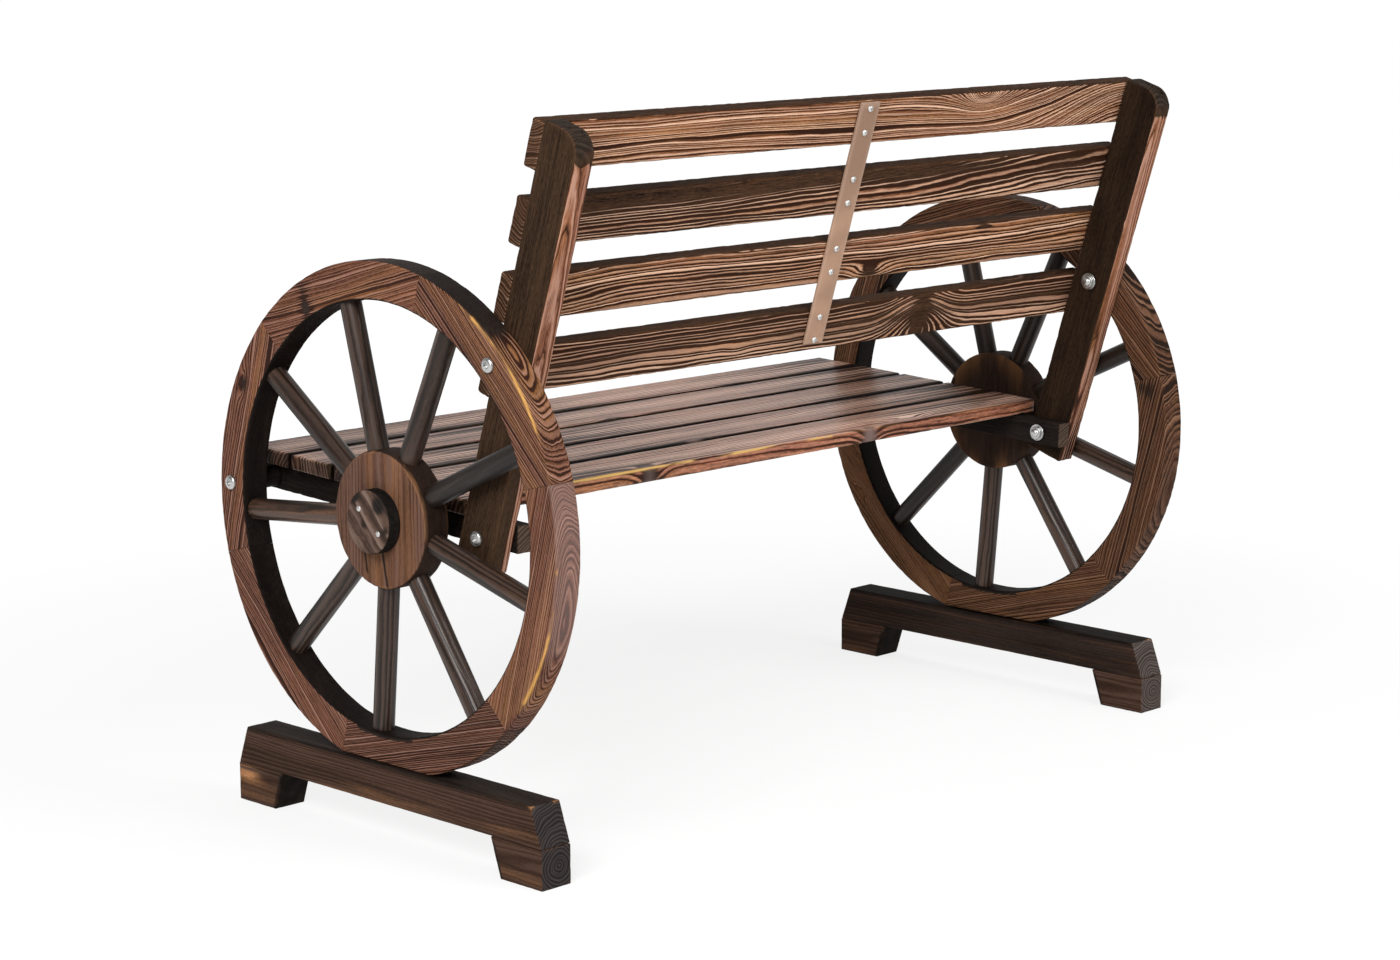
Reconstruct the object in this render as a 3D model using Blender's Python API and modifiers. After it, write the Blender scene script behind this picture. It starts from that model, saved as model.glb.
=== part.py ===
"""Wagon wheel bench: two spoked wooden wheels on low stands carry a slatted seat and a leaning back.

Metres, +Z up. The origin is on the floor under the middle of the bench. The front faces -Y,
and "left" is the sitter's left, at +X. Angles in a wheel run from +Y (rear) towards +Z (up).
"""
import math

import bmesh
import bpy
from mathutils import Matrix, Vector

# Clearances between pieces that touch
CONTACT_GAP = 0.0003
HOLE_CLEARANCE = 0.0003

# Wheels
WHEEL_SPACING = 0.992
WHEEL_RADIUS = 0.270
RIM_WIDTH = 0.041
RIM_THICKNESS = 0.033
RIM_EDGE_ROUND = 0.002
RIM_FLAT_ANGLE = math.radians(30)
FELLOE_COUNT = 6
FELLOE_ARC_STEPS = 10
FIRST_SEAM_ANGLE = math.radians(15)
SPOKE_COUNT = 9
FIRST_SPOKE_ANGLE = math.radians(25)
SPOKE_DIAMETER = 0.0236
SPOKE_END_ROUND = 0.003
SPOKE_SIDES = 16
RIM_SOCKET_DEPTH = 0.014
HUB_DIAMETER = 0.146
HUB_EDGE_ROUND = 0.002
HUB_SOCKET_DEPTH = 0.022
HUB_STEPS = 36
CAP_DIAMETER = 0.068
CAP_THICKNESS = 0.0175
CAP_EDGE_ROUND = 0.003

# Stands under the wheels: a beam on two foot blocks
STAND_LENGTH = 0.492
STAND_WIDTH = 0.040
BEAM_HEIGHT = 0.0422
BEAM_END_SLOPE = 0.0152
FOOT_HEIGHT = 0.0425
FOOT_LENGTH = 0.0632
FOOT_SLANT = 0.0143
STAND_EDGE_ROUND = 0.002

# Seat rails and seat
RAIL_TILT = math.radians(2.7)
RAIL_DROP = 0.003
RAIL_HEIGHT = 0.030
RAIL_THICKNESS = 0.020
RAIL_FRONT_TAIL = 0.020
RAIL_REAR_TAIL = 0.032
RAIL_EDGE_ROUND = 0.0015
SEAT_SLAT_COUNT = 5
SEAT_SLAT_WIDTH = 0.068
SEAT_SLAT_GAP = 0.005
SEAT_SLAT_THICKNESS = 0.017
SEAT_SLAT_EDGE_ROUND = 0.003
SEAT_TO_POST_GAP = 0.011
SEAT_SLAT_OVERHANG = 0.014

# Back posts, back slats and strap
POST_LEAN = math.radians(17.4)
POST_BOLT_ANGLE = math.radians(46)
POST_WIDTH = 0.0525
POST_THICKNESS = 0.0265
POST_LENGTH = 0.475
POST_TAIL = 0.0315
POST_TOP_ROUND = 0.025
POST_EDGE_ROUND = 0.002
BACK_SLAT_COUNT = 4
BACK_SLAT_WIDTH = 0.0517
BACK_SLAT_GAP = 0.0295
BACK_SLAT_THICKNESS = 0.0195
BACK_SLAT_EDGE_ROUND = 0.003
BACK_SLAT_DROP = 0.004
BACK_SLAT_END_INSET = 0.002
STRAP_WIDTH = 0.030
STRAP_THICKNESS = 0.003
STRAP_TOP_MARGIN = 0.002
STRAP_BOTTOM_MARGIN = 0.011
STRAP_EDGE_ROUND = 0.0006

# Bolts and spacers
BOLT_DIAMETER = 0.008
BOLT_HEAD_DIAMETER = 0.016
BOLT_HEAD_HEIGHT = 0.004
BOLT_END = 0.002
BOLT_STEPS = 12
WASHER_DIAMETER = 0.020
WASHER_THICKNESS = 0.0016
NUT_WIDTH = 0.013
NUT_THICKNESS = 0.0065
SPACER_DIAMETER = 0.024
SPACER_STEPS = 20

# Heights, planes and bolt places that follow from the sizes above
BEAM_BOTTOM = FOOT_HEIGHT + CONTACT_GAP
STAND_HEIGHT = BEAM_BOTTOM + BEAM_HEIGHT
FLAT_DISTANCE = WHEEL_RADIUS * math.cos(RIM_FLAT_ANGLE / 2)
AXIS_HEIGHT = STAND_HEIGHT + CONTACT_GAP + FLAT_DISTANCE
RIM_INNER_RADIUS = WHEEL_RADIUS - RIM_WIDTH
RIM_MIDDLE_RADIUS = WHEEL_RADIUS - RIM_WIDTH / 2
WHEEL_PLANE = WHEEL_SPACING / 2
RIM_OUTER_FACE = WHEEL_PLANE + RIM_THICKNESS / 2
RIM_INNER_FACE = WHEEL_PLANE - RIM_THICKNESS / 2
POST_OUTER_FACE = RIM_INNER_FACE - CONTACT_GAP
POST_INNER_FACE = POST_OUTER_FACE - POST_THICKNESS
RAIL_OUTER_FACE = POST_INNER_FACE - CONTACT_GAP
RAIL_INNER_FACE = RAIL_OUTER_FACE - RAIL_THICKNESS
UPPER_BOLT_Y = RIM_MIDDLE_RADIUS * math.cos(POST_BOLT_ANGLE)
UPPER_BOLT_RISE = RIM_MIDDLE_RADIUS * math.sin(POST_BOLT_ANGLE)
BOLT_SPAN = ((UPPER_BOLT_RISE + RAIL_DROP + UPPER_BOLT_Y * math.tan(RAIL_TILT))
             / (math.cos(POST_LEAN) + math.tan(RAIL_TILT) * math.sin(POST_LEAN)))
LOWER_BOLT_Y = UPPER_BOLT_Y - BOLT_SPAN * math.sin(POST_LEAN)
LOWER_BOLT_RISE = UPPER_BOLT_RISE - BOLT_SPAN * math.cos(POST_LEAN)
LOWER_BOLT_REACH = LOWER_BOLT_Y / math.cos(RAIL_TILT)
FRONT_BOLT_REACH = (RAIL_DROP * math.sin(RAIL_TILT)
                    + math.sqrt(RIM_MIDDLE_RADIUS ** 2 - (RAIL_DROP * math.cos(RAIL_TILT)) ** 2))
FRONT_BOLT_Y = -FRONT_BOLT_REACH * math.cos(RAIL_TILT)
FRONT_BOLT_RISE = FRONT_BOLT_REACH * math.sin(RAIL_TILT) - RAIL_DROP

SIDES = {"left": 1, "right": -1}
ACROSS = (math.pi / 2, 0, math.pi / 2)


def clear_scene():
    """Empties the file of the objects it starts with."""
    for item in list(bpy.data.objects):
        bpy.data.objects.remove(item, do_unlink=True)


def new_collection(name, parent=None):
    collection = bpy.data.collections.new(name)
    (parent or bpy.context.scene.collection).children.link(collection)
    return collection


def new_material(name, colour, roughness, metallic=0.0):
    material = bpy.data.materials.new(name)
    material.use_nodes = True
    surface = material.node_tree.nodes["Principled BSDF"]
    surface.inputs["Base Color"].default_value = (*colour, 1.0)
    surface.inputs["Roughness"].default_value = roughness
    surface.inputs["Metallic"].default_value = metallic
    material.diffuse_color = (*colour, 1.0)
    return material


def place(item, collection, parent, location=(0, 0, 0), rotation=(0, 0, 0)):
    """Links an object, hangs it on its parent and puts it in its place there."""
    collection.objects.link(item)
    item.parent = parent
    item.location = location
    item.rotation_euler = rotation
    return item


def new_empty(name, parent=None, location=(0, 0, 0), rotation=(0, 0, 0)):
    return place(bpy.data.objects.new(name, None), PARTS, parent, location, rotation)


def finish(item, material, edge_round=0.0, added=None, cutters=None, round_sides=False):
    """Gives a piece its material, its rounded edges, an added boss or nut, and its holes and sockets."""
    item.data.materials.clear()
    item.data.materials.append(material)
    if round_sides:
        item.data.shade_smooth()
        item.data.set_sharp_from_angle(angle=math.radians(35))
    if edge_round:
        bevel = item.modifiers.new("rounded_edges", 'BEVEL')
        bevel.width = edge_round
        bevel.segments = 1
        bevel.limit_method = 'ANGLE'
        bevel.angle_limit = math.radians(35)
    if added:
        boss = item.modifiers.new("added", 'BOOLEAN')
        boss.operation = 'UNION'
        boss.solver = 'EXACT'
        boss.object = added
    if cutters:
        holes = item.modifiers.new("holes", 'BOOLEAN')
        holes.operation = 'DIFFERENCE'
        holes.solver = 'EXACT'
        holes.operand_type = 'COLLECTION'
        holes.collection = cutters
    return item


def mesh_from(name, build):
    """A mesh filled by a function that draws into a bmesh."""
    sketch = bmesh.new()
    build(sketch)
    mesh = bpy.data.meshes.new(name)
    sketch.to_mesh(mesh)
    sketch.free()
    return mesh


def box_mesh(name, size):
    scale = Matrix.Diagonal((*size, 1.0))
    return mesh_from(name, lambda sketch: bmesh.ops.create_cube(sketch, size=1.0, matrix=scale))


def rod_mesh(name, radius, length, sides):
    """A closed round rod along Z, with its middle at the origin."""
    def build(sketch):
        bmesh.ops.create_cone(sketch, cap_ends=True, segments=sides,
                              radius1=radius, radius2=radius, depth=length)
    return mesh_from(name, build)


def plank_mesh(name, outline, thickness):
    """A flat outline in XY, cut from a plank of the given thickness centred on the outline's plane."""
    curve = bpy.data.curves.new(name, 'CURVE')
    curve.dimensions = '2D'
    curve.fill_mode = 'BOTH'
    curve.extrude = thickness / 2
    spline = curve.splines.new('POLY')
    spline.points.add(len(outline) - 1)
    for point, (x, y) in zip(spline.points, outline):
        point.co = (x, y, 0.0, 1.0)
    spline.use_cyclic_u = True
    sawn = bpy.data.objects.new(name, curve)
    PARTS.objects.link(sawn)
    evaluated = sawn.evaluated_get(bpy.context.evaluated_depsgraph_get())
    mesh = bpy.data.meshes.new_from_object(evaluated)
    bpy.data.objects.remove(sawn)
    bpy.data.curves.remove(curve)
    sketch = bmesh.new()
    sketch.from_mesh(mesh)
    bmesh.ops.remove_doubles(sketch, verts=sketch.verts, dist=0.00001)
    bmesh.ops.recalc_face_normals(sketch, faces=sketch.faces)
    sketch.to_mesh(mesh)
    sketch.free()
    return mesh


def turned_object(name, profile, steps):
    """A turned piece about Z from (radius, height) points that run from its top to its bottom."""
    mesh = bpy.data.meshes.new(name)
    points = [Vector((radius, 0.0, height)) for radius, height in profile]
    edges = [(i, i + 1) for i in range(len(points) - 1)]
    mesh.from_pydata(points, edges, [])
    item = bpy.data.objects.new(name, mesh)
    screw = item.modifiers.new("turned", 'SCREW')
    screw.axis = 'Z'
    screw.steps = steps
    screw.render_steps = steps
    screw.use_merge_vertices = True
    screw.merge_threshold = 0.00001
    screw.use_smooth_shade = True
    return item


def rounded_disc_profile(radius, top, bottom, edge_round):
    """Half outline of a disc with eased edges, from the axis at its top to the axis at its bottom."""
    return [(0.0, top), (radius - edge_round, top), (radius, top - edge_round),
            (radius, bottom + edge_round), (radius - edge_round, bottom), (0.0, bottom)]


def outward(side):
    """Turns a piece's +Z axis to point out of the bench on the given side."""
    return (0, side * math.pi / 2, 0)


def as_cutter(item):
    item.hide_render = True
    item.display_type = 'WIRE'
    return item


def rim_radius(angle):
    """Radius of the rim's outer edge, which is cut flat where the wheel stands."""
    below = -math.sin(angle)
    if below <= 0:
        return WHEEL_RADIUS
    return min(WHEEL_RADIUS, FLAT_DISTANCE / below)


def felloe_outline(start, end):
    """One felloe between two seams, in the wheel's plane, with half the joint's gap off each end."""
    half_gap = CONTACT_GAP / 2 / RIM_MIDDLE_RADIUS
    first, last = start + half_gap, end - half_gap
    angles = [first + (last - first) * i / FELLOE_ARC_STEPS for i in range(FELLOE_ARC_STEPS + 1)]
    step = (last - first) / FELLOE_ARC_STEPS
    for corner in (math.radians(270) - RIM_FLAT_ANGLE / 2, math.radians(270) + RIM_FLAT_ANGLE / 2):
        if first < corner < last:
            angles = [a for a in angles if a in (first, last) or abs(a - corner) > step / 4]
            if min(corner - first, last - corner) > step / 4:
                angles.append(corner)
    angles.sort()
    outer = [(rim_radius(a) * math.cos(a), rim_radius(a) * math.sin(a)) for a in angles]
    inner = [(RIM_INNER_RADIUS * math.cos(a), RIM_INNER_RADIUS * math.sin(a)) for a in angles]
    return outer + inner[::-1]


def add_bolt(name, side, head_face, nut_face, y, rise):
    """A domed bolt across X with its washer and nut, and the hole it passes through."""
    radius = BOLT_DIAMETER / 2
    head = BOLT_HEAD_DIAMETER / 2
    grip = head_face - nut_face + 2 * CONTACT_GAP
    washer_end = -grip - WASHER_THICKNESS
    tip = washer_end - NUT_THICKNESS - BOLT_END
    dome = [(head * math.sin(a), BOLT_HEAD_HEIGHT * (0.3 + 0.7 * math.cos(a)))
            for a in (0.0, math.radians(35), math.radians(65), math.radians(90))]
    profile = dome + [(head, 0.0), (radius, 0.0), (radius, -grip),
                      (WASHER_DIAMETER / 2, -grip), (WASHER_DIAMETER / 2, washer_end),
                      (radius, washer_end), (radius, tip), (0.0, tip)]
    location = (side * (head_face + CONTACT_GAP), y, AXIS_HEIGHT + rise)
    bolt = place(turned_object(name, profile, BOLT_STEPS), PARTS, BENCH, location, outward(side))
    nut_middle = washer_end - NUT_THICKNESS / 2 + CONTACT_GAP
    nut_radius = NUT_WIDTH / 2 / math.cos(math.pi / 6)
    blank = bpy.data.objects.new(name + "_nut", rod_mesh(name + "_nut", nut_radius, NUT_THICKNESS, 6))
    nut_place = (location[0] + side * nut_middle, y, AXIS_HEIGHT + rise)
    as_cutter(place(blank, BLANKS, BENCH, nut_place, outward(side)))
    finish(bolt, ZINC, added=blank)
    hole_length = head_face - nut_face + 4 * CONTACT_GAP
    hole_mesh = rod_mesh(name + "_hole", radius + HOLE_CLEARANCE, hole_length, BOLT_STEPS)
    hole = bpy.data.objects.new(name + "_hole", hole_mesh)
    hole_place = (side * (head_face + nut_face) / 2, y, AXIS_HEIGHT + rise)
    as_cutter(place(hole, CUTTERS[side], BENCH, hole_place, outward(side)))


def add_spoke_socket(name, side, wheel, angle):
    """The space that one spoke takes up in the hub and in the rim."""
    low = HUB_DIAMETER / 2 - HUB_SOCKET_DEPTH
    high = RIM_INNER_RADIUS + RIM_SOCKET_DEPTH
    socket_mesh = rod_mesh(name, SPOKE_DIAMETER / 2 + HOLE_CLEARANCE, high - low, SPOKE_SIDES)
    socket = bpy.data.objects.new(name, socket_mesh)
    middle = (low + high) / 2
    location = (0, middle * math.cos(angle), middle * math.sin(angle))
    as_cutter(place(socket, CUTTERS[side], wheel, location, (angle - math.pi / 2, 0, 0)))


def add_wheel(side_name, side):
    """Felloes, spokes, hub and hub cap of one wheel."""
    wheel = new_empty(side_name + "_wheel", BENCH, (side * WHEEL_PLANE, 0, AXIS_HEIGHT))
    spoke_angles = [FIRST_SPOKE_ANGLE + 2 * math.pi * i / SPOKE_COUNT for i in range(SPOKE_COUNT)]
    for number, angle in enumerate(spoke_angles, 1):
        add_spoke_socket(f"{side_name}_socket_{number}", side, wheel, angle)
    felloe_span = 2 * math.pi / FELLOE_COUNT
    for number in range(1, FELLOE_COUNT + 1):
        start = FIRST_SEAM_ANGLE + felloe_span * (number - 1)
        name = f"{side_name}_felloe_{number}"
        mesh = plank_mesh(name, felloe_outline(start, start + felloe_span), RIM_THICKNESS)
        felloe = place(bpy.data.objects.new(name, mesh), PARTS, wheel, rotation=ACROSS)
        finish(felloe, RIM_WOOD, RIM_EDGE_ROUND, cutters=CUTTERS[side])
    inner_end = HUB_DIAMETER / 2 - HUB_SOCKET_DEPTH + CONTACT_GAP
    outer_end = RIM_INNER_RADIUS + RIM_SOCKET_DEPTH - CONTACT_GAP
    for number, angle in enumerate(spoke_angles, 1):
        name = f"{side_name}_spoke_{number}"
        mesh = rod_mesh(name, SPOKE_DIAMETER / 2, outer_end - inner_end, SPOKE_SIDES)
        middle = (inner_end + outer_end) / 2
        location = (0, middle * math.cos(angle), middle * math.sin(angle))
        spoke = place(bpy.data.objects.new(name, mesh), PARTS, wheel, location, (angle - math.pi / 2, 0, 0))
        finish(spoke, SPOKE_WOOD, SPOKE_END_ROUND, round_sides=True)
    add_hub(side_name, side, wheel)


def add_hub(side_name, side, wheel):
    """The turned hub drum with its boss towards the rail, and the cap on its outer face."""
    half = RIM_THICKNESS / 2
    boss_end = -half - (RIM_INNER_FACE - RAIL_OUTER_FACE - CONTACT_GAP)
    boss = SPACER_DIAMETER / 2
    drum = rounded_disc_profile(HUB_DIAMETER / 2, half, -half, HUB_EDGE_ROUND)
    profile = drum[:-1] + [(boss, -half), (boss, boss_end), (0.0, boss_end)]
    hub = place(turned_object(side_name + "_hub", profile, HUB_STEPS), PARTS, wheel, rotation=outward(side))
    finish(hub, HUB_WOOD, cutters=CUTTERS[side])
    cap_profile = rounded_disc_profile(CAP_DIAMETER / 2, CAP_THICKNESS, 0.0, CAP_EDGE_ROUND)
    cap = turned_object(side_name + "_hub_cap", cap_profile, HUB_STEPS)
    place(cap, PARTS, wheel, (side * (half + CONTACT_GAP), 0, 0), outward(side))
    finish(cap, CAP_WOOD)


def add_stand(side_name, side):
    """A beam with sloped ends on two foot blocks, whose inner ends slant."""
    half = STAND_LENGTH / 2
    outlines = {
        "stand_beam": [(-half, BEAM_BOTTOM), (half, BEAM_BOTTOM),
                       (half - BEAM_END_SLOPE, STAND_HEIGHT), (-half + BEAM_END_SLOPE, STAND_HEIGHT)],
        "rear_foot": [(half - FOOT_LENGTH, 0.0), (half, 0.0),
                      (half, FOOT_HEIGHT), (half - FOOT_LENGTH - FOOT_SLANT, FOOT_HEIGHT)],
    }
    outlines["front_foot"] = [(-y, z) for y, z in outlines["rear_foot"][::-1]]
    for piece, outline in outlines.items():
        name = f"{side_name}_{piece}"
        block = bpy.data.objects.new(name, plank_mesh(name, outline, STAND_WIDTH))
        place(block, PARTS, BENCH, (side * WHEEL_PLANE, 0, 0), ACROSS)
        finish(block, STAND_WOOD, STAND_EDGE_ROUND)


def add_seat():
    """Two tilted rails just below the wheels' axis, and the slats laid across them."""
    seat = new_empty("seat", BENCH, (0, 0, AXIS_HEIGHT - RAIL_DROP), (-RAIL_TILT, 0, 0))
    rail_front = -FRONT_BOLT_REACH - RAIL_FRONT_TAIL
    rail_rear = LOWER_BOLT_REACH + RAIL_REAR_TAIL
    for side_name, side in SIDES.items():
        name = side_name + "_seat_rail"
        mesh = box_mesh(name, (RAIL_THICKNESS, rail_rear - rail_front, RAIL_HEIGHT))
        rail_middle = (RAIL_OUTER_FACE + RAIL_INNER_FACE) / 2
        middle = (side * rail_middle, (rail_front + rail_rear) / 2, 0)
        rail = place(bpy.data.objects.new(name, mesh), PARTS, seat, middle)
        spacer_length = POST_OUTER_FACE - rail_middle
        spacer_mesh = rod_mesh(name + "_spacer", SPACER_DIAMETER / 2, spacer_length, SPACER_STEPS)
        spacer = bpy.data.objects.new(name + "_spacer", spacer_mesh)
        spacer_middle = (side * (POST_OUTER_FACE + rail_middle) / 2, -FRONT_BOLT_REACH, 0)
        as_cutter(place(spacer, BLANKS, seat, spacer_middle, outward(side)))
        finish(rail, RAIL_WOOD, RAIL_EDGE_ROUND, spacer, CUTTERS[side])
    rail_top = RAIL_HEIGHT / 2
    lean = POST_LEAN - RAIL_TILT
    post_front = LOWER_BOLT_REACH + rail_top * math.tan(lean) - POST_WIDTH / 2 / math.cos(lean)
    rear_edge = post_front - SEAT_TO_POST_GAP
    pitch = SEAT_SLAT_WIDTH + SEAT_SLAT_GAP
    length = 2 * (RAIL_OUTER_FACE + SEAT_SLAT_OVERHANG)
    height = rail_top + CONTACT_GAP + SEAT_SLAT_THICKNESS / 2
    for number in range(1, SEAT_SLAT_COUNT + 1):
        name = f"seat_slat_{number}"
        mesh = box_mesh(name, (length, SEAT_SLAT_WIDTH, SEAT_SLAT_THICKNESS))
        middle = rear_edge - SEAT_SLAT_WIDTH / 2 - pitch * (SEAT_SLAT_COUNT - number)
        slat = place(bpy.data.objects.new(name, mesh), PARTS, seat, (0, middle, height))
        finish(slat, SEAT_WOOD, SEAT_SLAT_EDGE_ROUND)


def post_outline():
    """A back post seen from its side, with the bolt to the rim at the origin and its rear top rounded."""
    half = POST_WIDTH / 2
    bottom = -BOLT_SPAN - POST_TAIL
    top = bottom + POST_LENGTH
    centre = (half - POST_TOP_ROUND, top - POST_TOP_ROUND)
    arc = [(centre[0] + POST_TOP_ROUND * math.cos(a), centre[1] + POST_TOP_ROUND * math.sin(a))
           for a in (math.radians(22.5 * i) for i in range(5))]
    return [(-half, bottom), (half, bottom)] + arc + [(-half, top)]


def add_back():
    """Two leaning posts, the slats on their front faces and the strap up the back of the slats."""
    back = new_empty("back", BENCH, (0, UPPER_BOLT_Y, AXIS_HEIGHT + UPPER_BOLT_RISE), (-POST_LEAN, 0, 0))
    for side_name, side in SIDES.items():
        name = side_name + "_back_post"
        mesh = plank_mesh(name, post_outline(), POST_THICKNESS)
        middle = side * (POST_OUTER_FACE + POST_INNER_FACE) / 2
        post = place(bpy.data.objects.new(name, mesh), PARTS, back, (middle, 0, 0), ACROSS)
        finish(post, POST_WOOD, POST_EDGE_ROUND, cutters=CUTTERS[side])
    length = 2 * (POST_OUTER_FACE - BACK_SLAT_END_INSET)
    face = -POST_WIDTH / 2 - CONTACT_GAP
    top = -BOLT_SPAN - POST_TAIL + POST_LENGTH - BACK_SLAT_DROP
    pitch = BACK_SLAT_WIDTH + BACK_SLAT_GAP
    for number in range(1, BACK_SLAT_COUNT + 1):
        name = f"back_slat_{number}"
        mesh = box_mesh(name, (length, BACK_SLAT_THICKNESS, BACK_SLAT_WIDTH))
        height = top - BACK_SLAT_WIDTH / 2 - pitch * (number - 1)
        place_in_back = (0, face - BACK_SLAT_THICKNESS / 2, height)
        slat = place(bpy.data.objects.new(name, mesh), PARTS, back, place_in_back)
        finish(slat, BACK_WOOD, BACK_SLAT_EDGE_ROUND)
    strap_top = top - STRAP_TOP_MARGIN
    strap_bottom = top - BACK_SLAT_WIDTH - pitch * (BACK_SLAT_COUNT - 1) + STRAP_BOTTOM_MARGIN
    mesh = box_mesh("back_strap", (STRAP_WIDTH, STRAP_THICKNESS, strap_top - strap_bottom))
    middle = (0, face + CONTACT_GAP + STRAP_THICKNESS / 2, (strap_top + strap_bottom) / 2)
    strap = place(bpy.data.objects.new("back_strap", mesh), PARTS, back, middle)
    finish(strap, STRAP_PAINT, STRAP_EDGE_ROUND)


def add_fasteners(side_name, side):
    """The bolts of one side: rim to rail at the front, rim to post, and post to rail."""
    add_bolt(side_name + "_front_bolt", side, RIM_OUTER_FACE, RAIL_INNER_FACE,
             FRONT_BOLT_Y, FRONT_BOLT_RISE)
    add_bolt(side_name + "_upper_post_bolt", side, RIM_OUTER_FACE, POST_INNER_FACE,
             UPPER_BOLT_Y, UPPER_BOLT_RISE)
    add_bolt(side_name + "_lower_post_bolt", side, POST_OUTER_FACE, RAIL_INNER_FACE,
             LOWER_BOLT_Y, LOWER_BOLT_RISE)


def centre_depth():
    """Moves the bench along Y until the origin lies under the middle of its depth."""
    scene_now = bpy.context.evaluated_depsgraph_get()
    depths = []
    for item in PARTS.objects:
        if item.type == 'MESH':
            shape = item.evaluated_get(scene_now)
            depths += [(shape.matrix_world @ vertex.co).y for vertex in shape.data.vertices]
    BENCH.location.y = -(min(depths) + max(depths)) / 2


clear_scene()
PARTS = new_collection("wagon_wheel_bench")
HELPERS = new_collection("cutters")
BLANKS = new_collection("nut_blanks", HELPERS)
CUTTERS = {side: new_collection(name + "_cutters", HELPERS) for name, side in SIDES.items()}

RIM_WOOD = new_material("rim_wood", (0.16, 0.065, 0.032), 0.6)
SPOKE_WOOD = new_material("spoke_wood", (0.045, 0.035, 0.032), 0.5)
HUB_WOOD = new_material("hub_wood", (0.14, 0.065, 0.035), 0.6)
CAP_WOOD = new_material("cap_wood", (0.11, 0.06, 0.04), 0.6)
STAND_WOOD = new_material("stand_wood", (0.035, 0.02, 0.016), 0.6)
POST_WOOD = new_material("post_wood", (0.06, 0.03, 0.02), 0.6)
RAIL_WOOD = new_material("rail_wood", (0.03, 0.02, 0.018), 0.6)
SEAT_WOOD = new_material("seat_wood", (0.19, 0.10, 0.075), 0.45)
BACK_WOOD = new_material("back_wood", (0.2, 0.085, 0.045), 0.6)
STRAP_PAINT = new_material("strap_paint", (0.27, 0.15, 0.1), 0.55)
ZINC = new_material("zinc", (0.6, 0.6, 0.6), 0.3, 1.0)

BENCH = new_empty("bench")
for SIDE_NAME, SIDE in SIDES.items():
    add_fasteners(SIDE_NAME, SIDE)
    add_wheel(SIDE_NAME, SIDE)
    add_stand(SIDE_NAME, SIDE)
add_seat()
add_back()
bpy.context.view_layer.update()
centre_depth()
bpy.context.view_layer.update()
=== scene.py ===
"""A rustic garden bench: two wagon wheels on low stands, a slatted seat and a leaning slatted back.

The pieces follow each other as the bench is put together. All sizes are in metres.
"""
import bpy
import math
from mathutils import Matrix, Vector, noise


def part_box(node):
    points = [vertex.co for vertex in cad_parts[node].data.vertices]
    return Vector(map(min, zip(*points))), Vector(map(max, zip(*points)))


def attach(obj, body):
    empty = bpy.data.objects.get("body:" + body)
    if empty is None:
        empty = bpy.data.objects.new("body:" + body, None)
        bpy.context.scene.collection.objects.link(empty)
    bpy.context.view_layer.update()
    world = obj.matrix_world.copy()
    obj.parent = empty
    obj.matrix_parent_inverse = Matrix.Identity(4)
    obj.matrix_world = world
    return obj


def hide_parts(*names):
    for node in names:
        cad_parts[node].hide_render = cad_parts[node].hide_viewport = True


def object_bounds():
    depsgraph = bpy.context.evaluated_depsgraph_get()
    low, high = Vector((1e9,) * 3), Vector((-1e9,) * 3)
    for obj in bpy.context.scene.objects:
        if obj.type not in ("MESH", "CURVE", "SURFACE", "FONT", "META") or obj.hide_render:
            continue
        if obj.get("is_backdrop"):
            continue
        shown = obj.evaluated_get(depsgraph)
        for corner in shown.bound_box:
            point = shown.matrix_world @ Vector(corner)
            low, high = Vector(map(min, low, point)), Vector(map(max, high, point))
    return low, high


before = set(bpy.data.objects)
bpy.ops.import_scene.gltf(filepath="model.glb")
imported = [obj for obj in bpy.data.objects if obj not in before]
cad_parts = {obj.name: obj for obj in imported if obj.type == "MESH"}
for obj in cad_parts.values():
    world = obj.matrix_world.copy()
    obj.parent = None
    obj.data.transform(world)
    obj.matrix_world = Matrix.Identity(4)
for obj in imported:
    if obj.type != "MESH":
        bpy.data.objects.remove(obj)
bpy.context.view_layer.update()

# Feet of the stands
# Four short blocks of charred softwood with their end grain outwards and their inner ends slanted.
# Each is screwed up into one end of a stand's beam and carries the bench on the floor.
FOOT_EDGE = 0.001
FOOT_SLANT = 0.0143
SIDES = {"left": 1, "right": -1}
SHARP_ANGLE = math.radians(50)
DENTS_PER_METRE = 55
CHIPS_PER_METRE = 170
SECTION_STEP = 0.005
WORN_WIDTH = 0.005
TIGHT_REACH = 0.006
SKIN = 0.001
DEEP_SKIN = 0.002


def measured(node, turn):
    """Centre and size of a CAD piece along the axes of a turned frame."""
    points = [turn.transposed() @ vertex.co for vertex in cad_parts[node].data.vertices]
    low = Vector(map(min, *points))
    high = Vector(map(max, *points))
    return turn @ ((low + high) / 2), high - low


def axes(along, up):
    """A piece's frame: its grain along the first direction, its third axis towards the second."""
    along = Vector(along).normalized()
    side = Vector(up).cross(along).normalized()
    return Matrix((along, side, along.cross(side))).transposed()


def skin(name, points, count):
    """A closed smooth mesh over rows of points, each row one outline, with flat ends."""
    faces = [tuple(reversed(range(count)))]
    for row in range(len(points) // count - 1):
        for k in range(count):
            first = row * count + k
            second = row * count + (k + 1) % count
            faces.append((first, second, second + count, first + count))
    faces.append(tuple(range(len(points) - count, len(points))))
    mesh = bpy.data.meshes.new(name)
    mesh.from_pydata(points, [], faces)
    mesh.shade_smooth()
    mesh.set_sharp_from_angle(angle=SHARP_ANGLE)
    item = bpy.data.objects.new(name, mesh)
    bpy.context.collection.objects.link(item)
    return item


def note(item, name, values):
    """Keeps one number for each point of a mesh, for its material to read."""
    layer = item.data.attributes.new(name, "FLOAT", "POINT")
    layer.data.foreach_set("value", values)


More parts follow.
